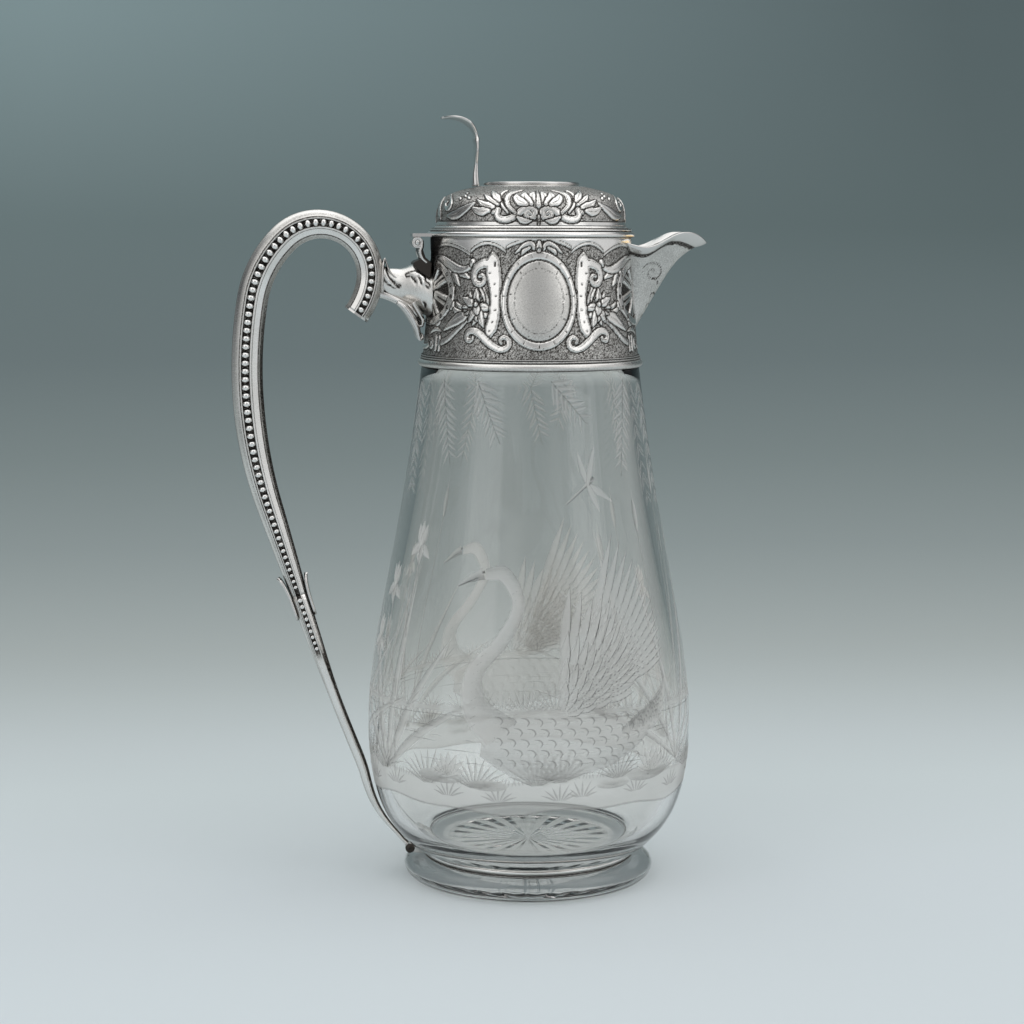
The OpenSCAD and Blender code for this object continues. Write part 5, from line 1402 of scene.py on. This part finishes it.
class Drawing:
    """Cuts laid on the bowl. A place is (millimetres round it, height). tone is -1 for a dark cut and
    1 for a light one, lean paints one side darker and the other lighter as painted shade and light, frost is
    how much it hides."""

    def __init__(self):
        self.points, self.faces, self.tone, self.frost, self.count = [], [], [], [], 0
        self.layer = 0

    def lay(self, across, up, tone, frost):
        rows, cols = across.shape
        self.layer += 1
        r = bowl_r(np.clip(up, 12, 190)) + 0.03 + 0.00012 * self.layer
        self.points.append(round_points(r, across / PER_TURN, up).reshape(-1, 3))
        a = self.count + (np.arange(rows - 1)[:, None] * cols + np.arange(cols - 1)[None]).ravel()
        self.faces.append(np.stack([a, a + 1, a + cols + 1, a + cols], -1))
        self.tone.append(np.broadcast_to(tone, across.shape).ravel())
        self.frost.append(np.broadcast_to(frost, across.shape).ravel())
        self.count += rows * cols

    def cut(self, points, widths, tone=0.1, lean=0.5, frost=0.7, cols=5, steps=4):
        line = flow(points, steps)
        w = shared_out(widths, len(line))
        out = turned_out(line)
        c = np.linspace(-1, 1, cols)[None]
        place = line[:, None] + out[:, None] * (w[:, None] * c)[..., None]
        # painted shade and light across the cut: one side darker and the other lighter by lean
        self.lay(place[..., 0], place[..., 1], tone + lean * c + 0 * w[:, None],
                 frost * np.where(np.abs(c) > 0.99, 0.55, 1) + 0 * w[:, None])

    def blade(self, x, z, length, angle, bow, width, edge=0, **look):
        """A grass blade or narrow leaf from its root. Angles in degrees, bow as a share of the length."""
        a = math.radians(angle)
        along, side = np.array([math.cos(a), math.sin(a)]), np.array([math.sin(a), -math.cos(a)])
        root = np.array([x, z])
        line = [root, root + along * length * 0.5 + side * bow * length * 0.35,
                root + along * length + side * bow * length]
        self.cut(line, [width * 0.5, width, width * 0.75, 0.05], **look)
        if edge:
            shift = side * edge * width * 0.85
            self.cut([line[0] + shift * 0.5, line[1] + shift, line[2]], [0.08, 0.13, 0.06],
                     tone=-0.85, lean=0.0, frost=1.1, cols=3)

    def tuft(self, x, z, blades, height, spread=50, width=0.5, **look):
        for k, lean in enumerate(np.linspace(-1, 1, blades)):
            length = height * (1 - 0.35 * abs(lean)) * dice.uniform(0.85, 1.15)
            self.blade(x + lean * 1.5, z, length, 90 - lean * spread, 0.3 * lean, width, **look)

    def twig(self, line, leaves, size, width=0.9, **look):
        """A stem with pairs of narrow leaves."""
        stem = flow(line, 12)
        self.cut(line, [0.28, 0.16], tone=-0.5, lean=0.2, frost=0.8, cols=3)
        for k in range(leaves):
            spot = int((0.08 + 0.9 * k / leaves) * (len(stem) - 2))
            d = stem[spot + 1] - stem[spot]
            head = math.degrees(math.atan2(d[1], d[0]))
            for way in (-1, 1):
                length = size * (1 - 0.45 * k / leaves) * dice.uniform(0.85, 1.1)
                self.blade(*stem[spot], length, head + way * dice.uniform(32, 48), -0.12 * way,
                           width * length / size, **look)

    def bulrush(self, x, z, height, lean=0.0):
        top = (x + lean * height, z + height)
        self.cut([(x, z), (x + lean * height * 0.3, z + height * 0.5), top], [0.35, 0.25], tone=-0.2,
                 lean=0.3, cols=3)
        self.cut([(top[0], top[1] - 1), (top[0] + lean * 5, top[1] + 5), (top[0] + lean * 10, top[1] + 10)],
                 [0.7, 1.5, 1.5, 0.6], tone=-0.05, lean=0.55)
        self.cut([(top[0] + lean * 10, top[1] + 10), (top[0] + lean * 14, top[1] + 14)], [0.25, 0.1],
                 tone=0.2, cols=3)

    def iris(self, x, z, height, lean=0.05):
        top = np.array([x + lean * height, z + height])
        self.cut([(x, z), (x + lean * height * 0.4, z + height * 0.5), top], [0.55, 0.4], tone=0.0, lean=0.35,
                 cols=3)
        self.blade(*(top - (0, 7)), 7, 96, 0.1, 1.0, tone=0.1, lean=0.5)
        for angle, bow, length, width in ((205, -0.25, 7, 2.1), (-25, 0.25, 7, 2.1), (268, 0.05, 6.5, 2.3)):
            self.blade(*top, length, angle, bow, width, tone=0.3, lean=0.55, frost=0.82)
        for angle, bow, length, width in ((122, 0.25, 7.5, 1.9), (58, -0.25, 7.5, 1.9), (90, 0.0, 8.5, 2.2)):
            self.blade(*top, length, angle, bow, width, tone=0.35, lean=-0.5, frost=0.85)

    def lily_pad(self, x, z, half):
        flat = 0.3
        c = np.linspace(-1, 1, 15)
        round_edge = np.sqrt(np.clip(1 - c ** 2, 0.0, 1))
        up = np.linspace(-1, 1, 5)[:, None] * round_edge[None] * half * flat + z
        # painted light and shade: each pad lighter towards its upper edge and darker towards its lower
        self.lay(x + half * c[None] + 0 * up, up, 0.05 + 0.35 * (up - z) / (half * flat), 0.65 + 0 * up)
        for angle in range(20, 180, 28):
            a = math.radians(angle)
            tip = (x + 0.85 * half * math.cos(a), z + 0.85 * half * flat * math.sin(a))
            self.cut([(x, z - half * flat * 0.3), tip], [0.12, 0.06], tone=-0.5, lean=0.0, cols=3)

    def lily(self, x, z, size):
        for angle, length in ((20, 0.85), (160, 0.85), (45, 1.0), (135, 1.0), (68, 1.05), (112, 1.05),
                              (90, 1.1)):
            self.blade(x, z, size * length, angle, 0.0, size * 0.17, tone=0.4, lean=0.45, frost=0.85)

    def fan(self, root, reach, angles, count, width, bow=0.0, **look):
        """Feathers that spread from a root, laid over one another."""
        for angle, near, far in zip(*[np.linspace(*ends, count) for ends in (angles, *reach)]):
            a = math.radians(angle)
            start = np.array(root) + near * np.array([math.cos(a), math.sin(a)])
            self.blade(*start, far - near, angle, bow, width, **look)

    def swan(self, x, z, size, way=1):
        """A swan on the water with raised wings. way is 1 facing left and -1 facing right."""
        def at(*spots):
            return [(x + way * size * px, z + size * pz) for px, pz in spots]

        # the two raised wings, each with four rows of feathers
        for root, near, far, angles, count in (((6, 24), (26, 20), (62, 40), (76, 24), 14),
                                               ((2, 22), (20, 14), (44, 26), (88, 16), 13)):
            angles = [a if way > 0 else 180 - a for a in angles]
            for start, stop, less, width in ((1.0, 1.0, 0, 2.0), (0.62, 0.66, 3, 2.0),
                                             (0.34, 0.45, 6, 1.9), (0.1, 0.27, 9, 1.9)):
                reach = [v * size * start for v in near], [v * size * stop for v in far]
                self.fan(at(root)[0], reach, angles, count - less, width * size, 0.1 * way, edge=way,
                         tone=0.36, lean=0.3 * way, frost=0.72)
        # tail
        for k in range(6):
            self.cut(at((22 + k, 14 + k * 0.6), (34 + k, 16 + 1.6 * k), (40 + 0.6 * k, 18 + 2.6 * k)),
                     [2.0 * size, 2.4 * size, 0.4], tone=0.15, lean=0.5 * way, frost=0.75)
        # body and its small feathers
        self.cut(at((-23, 12), (-12, 11), (2, 11), (18, 12), (32, 15)),
                 [5.0 * size, 11.5 * size, 12.5 * size, 9 * size, 3.0],
                 tone=0.3, lean=-0.45 * way, frost=0.74, cols=11)
        for row in range(5):
            for k in range(12):
                px, pz = -19 + 4.1 * k + 2 * (row % 2), 4.5 + 3.7 * row + 0.02 * (k - 5) ** 2
                self.cut(at((px, pz + 1.5), (px + 1.7, pz + 1.2), (px + 2.5, pz), (px + 1.9, pz - 1.3)),
                         [0.1, 0.3, 0.3, 0.1], tone=-0.3, lean=0.3, frost=0.8, cols=3, steps=3)
                self.cut(at((px - 1.5, pz), (px + 1.2, pz + 0.1)), [0.1, 0.8, 0.2],
                         tone=0.55, lean=0.2, frost=0.4, cols=3)
        # neck and head, short cuts down the neck, bill, eye and mouth
        self.cut(at((-17, 15), (-25, 24), (-26, 36), (-17, 48), (-12, 60), (-17, 70), (-24, 70)),
                 np.array([7, 5.2, 3.4, 2.7, 2.3, 2.4, 2.9, 2.0]) * size,
                 tone=0.3, lean=-0.5 * way, frost=0.8, cols=9, steps=6)
        for k in range(16):
            a, b = 17 + 3.1 * k, -25.5 + 12.5 * smooth((k - 5) / 10)
            self.cut(at((b - 1.2, a), (b + 0.4, a + 1.2)), [0.08, 0.2, 0.08], tone=-0.4, lean=0.1, cols=3)
        self.cut(at((-25, 70.2), (-29, 68.6), (-34.5, 65.5)), [2.1 * size, 1.5 * size, 0.35], tone=-0.15,
                 lean=0.5 * way)
        self.cut(at((-24.4, 70.9), (-25.6, 70.6)), [0.5, 0.45], tone=-0.95, lean=0.0, frost=0.95, cols=3)
        self.cut(at((-26.5, 69.0), (-30, 67.4), (-34, 65.6)), [0.1, 0.16, 0.08], tone=-0.9, lean=0.0,
                 frost=0.9, cols=3)


drawing = Drawing()

# bank all round, darker at its edge, with short grass along the top
x = np.linspace(0, ROUND, 321)
wave = np.sin(x / ROUND * 2 * math.pi * 5) + 0.6 * np.sin(x / ROUND * 2 * math.pi * 11 + 1)
foot_z, top_z = 37.0 + 0.9 * wave, 48.5 + 1.4 * np.sin(x / ROUND * 2 * math.pi * 3 + 0.6) + 0.4 * wave


def band(up, tone, frost):
    """A band right round the bowl, from its lines of heights."""
    drawing.lay(x[None] + 0 * up, up, tone + 0 * x, np.reshape(frost, (-1, 1)) + 0 * x)


share = np.linspace(0, 1, 12)[:, None]
band(foot_z + (top_z - foot_z) * share, 0.22 + 0.3 * np.sin(share * 3.0), 0.62)
band(foot_z + np.array([[-0.5], [0.0], [0.6]]), -0.35, (0.0, 0.6, 0.2))
for x0 in np.arange(0, ROUND, 1.15):
    z0 = np.interp(x0, x, top_z)
    drawing.blade(x0, z0 - 1.2, dice.uniform(2.0, 3.8), 90 + dice.uniform(-22, 22), 0.1, 0.24,
                  tone=-0.1, lean=0.4, cols=3, steps=2)
for x0 in np.arange(6, ROUND, 17.5):
    x0 += dice.uniform(-4, 4)
    drawing.tuft(x0, np.interp(x0, x, top_z) - 2, 11, dice.uniform(10, 15), width=0.62, tone=-0.05, lean=0.5,
                 frost=0.75)
    drawing.tuft(x0 + 7, np.interp(x0, x, foot_z) + 4.5, 7, 6.5, width=0.4, tone=-0.2, lean=0.4, frost=0.6)

# ripples and the far shore
for k in range(120):
    x0, z0, long = dice.uniform(0, ROUND), dice.uniform(49, 70), dice.uniform(3, 13)
    drawing.cut([(x0, z0), (x0 + long / 2, z0 + 0.25), (x0 + long, z0)], [0.05, 0.17, 0.05],
                tone=dice.uniform(-0.7, 0.5), lean=0.2, frost=0.7, cols=3, steps=3)
shore = 72 + 1.4 * np.sin(x / ROUND * 2 * math.pi * 2 + 2)
band(shore + np.array([[-2.4], [-0.8], [0.4], [1.4]]), 0.2, (0.0, 0.5, 0.5, 0.1))
band(shore + np.array([[-2.7], [-2.4], [-2.1]]), -0.5, (0.0, 0.55, 0.0))
for x0 in np.arange(0, ROUND, 9.0):
    drawing.tuft(x0 + dice.uniform(-3, 3), np.interp(x0, x, shore), 7, dice.uniform(4.5, 8.5), 40, 0.32,
                 tone=0.0, lean=0.35, frost=0.55)

# front: the swan, with bulrushes on the right, irises on the left and lilies before it
for lean, height in ((-38, 60), (-22, 78), (-8, 70), (10, 86), (24, 66), (40, 52)):
    drawing.blade(52, 50, height, 90 - lean, lean / 90, 1.3, tone=0.1, lean=0.55, frost=0.7)
for x0, height, lean in ((46, 84, -0.05), (55, 96, 0.04), (63, 74, 0.1)):
    drawing.bulrush(x0, 50, height, lean)
for lean, height in ((-30, 44), (-12, 62), (4, 70), (18, 56), (34, 46)):
    drawing.blade(-58, 47, height, 90 - lean, lean / 110, 1.9, tone=0.12, lean=0.55, frost=0.72)
for x0, height, lean in ((-62, 66, -0.06), (-54, 82, 0.03), (-66, 46, -0.14)):
    drawing.iris(x0, 46, height, lean)
drawing.swan(3, 50, 1.0)
for x0, z0, half in ((-34, 48.5, 8.5), (-18, 46.6, 6.5), (36, 48.0, 9.0), (22, 46.2, 6.0), (70, 47.5, 8)):
    drawing.lily_pad(x0, z0, half)
drawing.lily(-31, 49.5, 7.5)
drawing.lily(37.5, 49, 8.5)

# back: a second swan that looks the other way, between reeds
for x0, height, lean in ((112, 80, 0.05), (119, 66, 0.1), (206, 84, -0.06), (214, 70, 0.02),
                         (236, 60, -0.05)):
    drawing.bulrush(x0, 48, height, lean)
for x0 in (96, 116, 210, 238):
    for lean, height in ((-32, 50), (-14, 68), (6, 74), (20, 60), (36, 48)):
        drawing.blade(x0, 48, height * dice.uniform(0.8, 1.1), 90 - lean, lean / 95, 1.5, tone=0.05, lean=0.5,
                      frost=0.65)
drawing.iris(100, 46, 60, 0.05)
drawing.iris(226, 46, 70, -0.04)
drawing.swan(165, 52, 0.92, -1)
for x0, z0, half in ((128, 48, 8), (144, 46.5, 6), (196, 48, 8.5), (184, 46.4, 6)):
    drawing.lily_pad(x0, z0, half)
drawing.lily(130, 49, 8)
drawing.lily(197, 49, 7.5)

# willow twigs from the collar, and a dragonfly
TWIG_Z = 187
for x0, drop, sway in ((-72, 46, 6), (-50, 30, 9), (-30, 22, 12), (4, 15, 16), (44, 34, -8), (60, 52, 6),
                       (84, 30, 8), (108, 40, -6), (135, 24, 10), (160, 30, -8), (186, 38, 8), (212, 26, 12),
                       (236, 44, -6)):
    line = [(x0, TWIG_Z), (x0 + sway * 0.5, TWIG_Z - drop * 0.5), (x0 + sway, TWIG_Z - drop)]
    drawing.twig(line, 5 + drop // 6, 9.5, 1.15, tone=0.1, lean=0.5, frost=0.48)
drawing.cut([(20, 152), (15.5, 149), (9, 144.4)], [0.9, 0.75, 0.5, 0.55, 0.3], tone=-0.2, lean=0.5,
            frost=0.85)
drawing.cut([(20, 152), (21.6, 153)], [1.0, 0.8], tone=-0.4, lean=0.3, frost=0.85)
for angle, length in ((75, 14), (112, 12), (-28, 13), (-62, 11)):
    drawing.blade(18.5, 151, length, angle, 0.05, 1.5, tone=0.45, lean=0.35, frost=0.6)

engraving = mesh_of("wheel_engraving", np.vstack(drawing.points), np.vstack(drawing.faces)[:, ::-1],
                    matt_glass())
put_values(engraving, "tone", np.concatenate(drawing.tone))
put_values(engraving, "frost", np.concatenate(drawing.frost))
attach(engraving, "jug")

low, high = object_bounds()
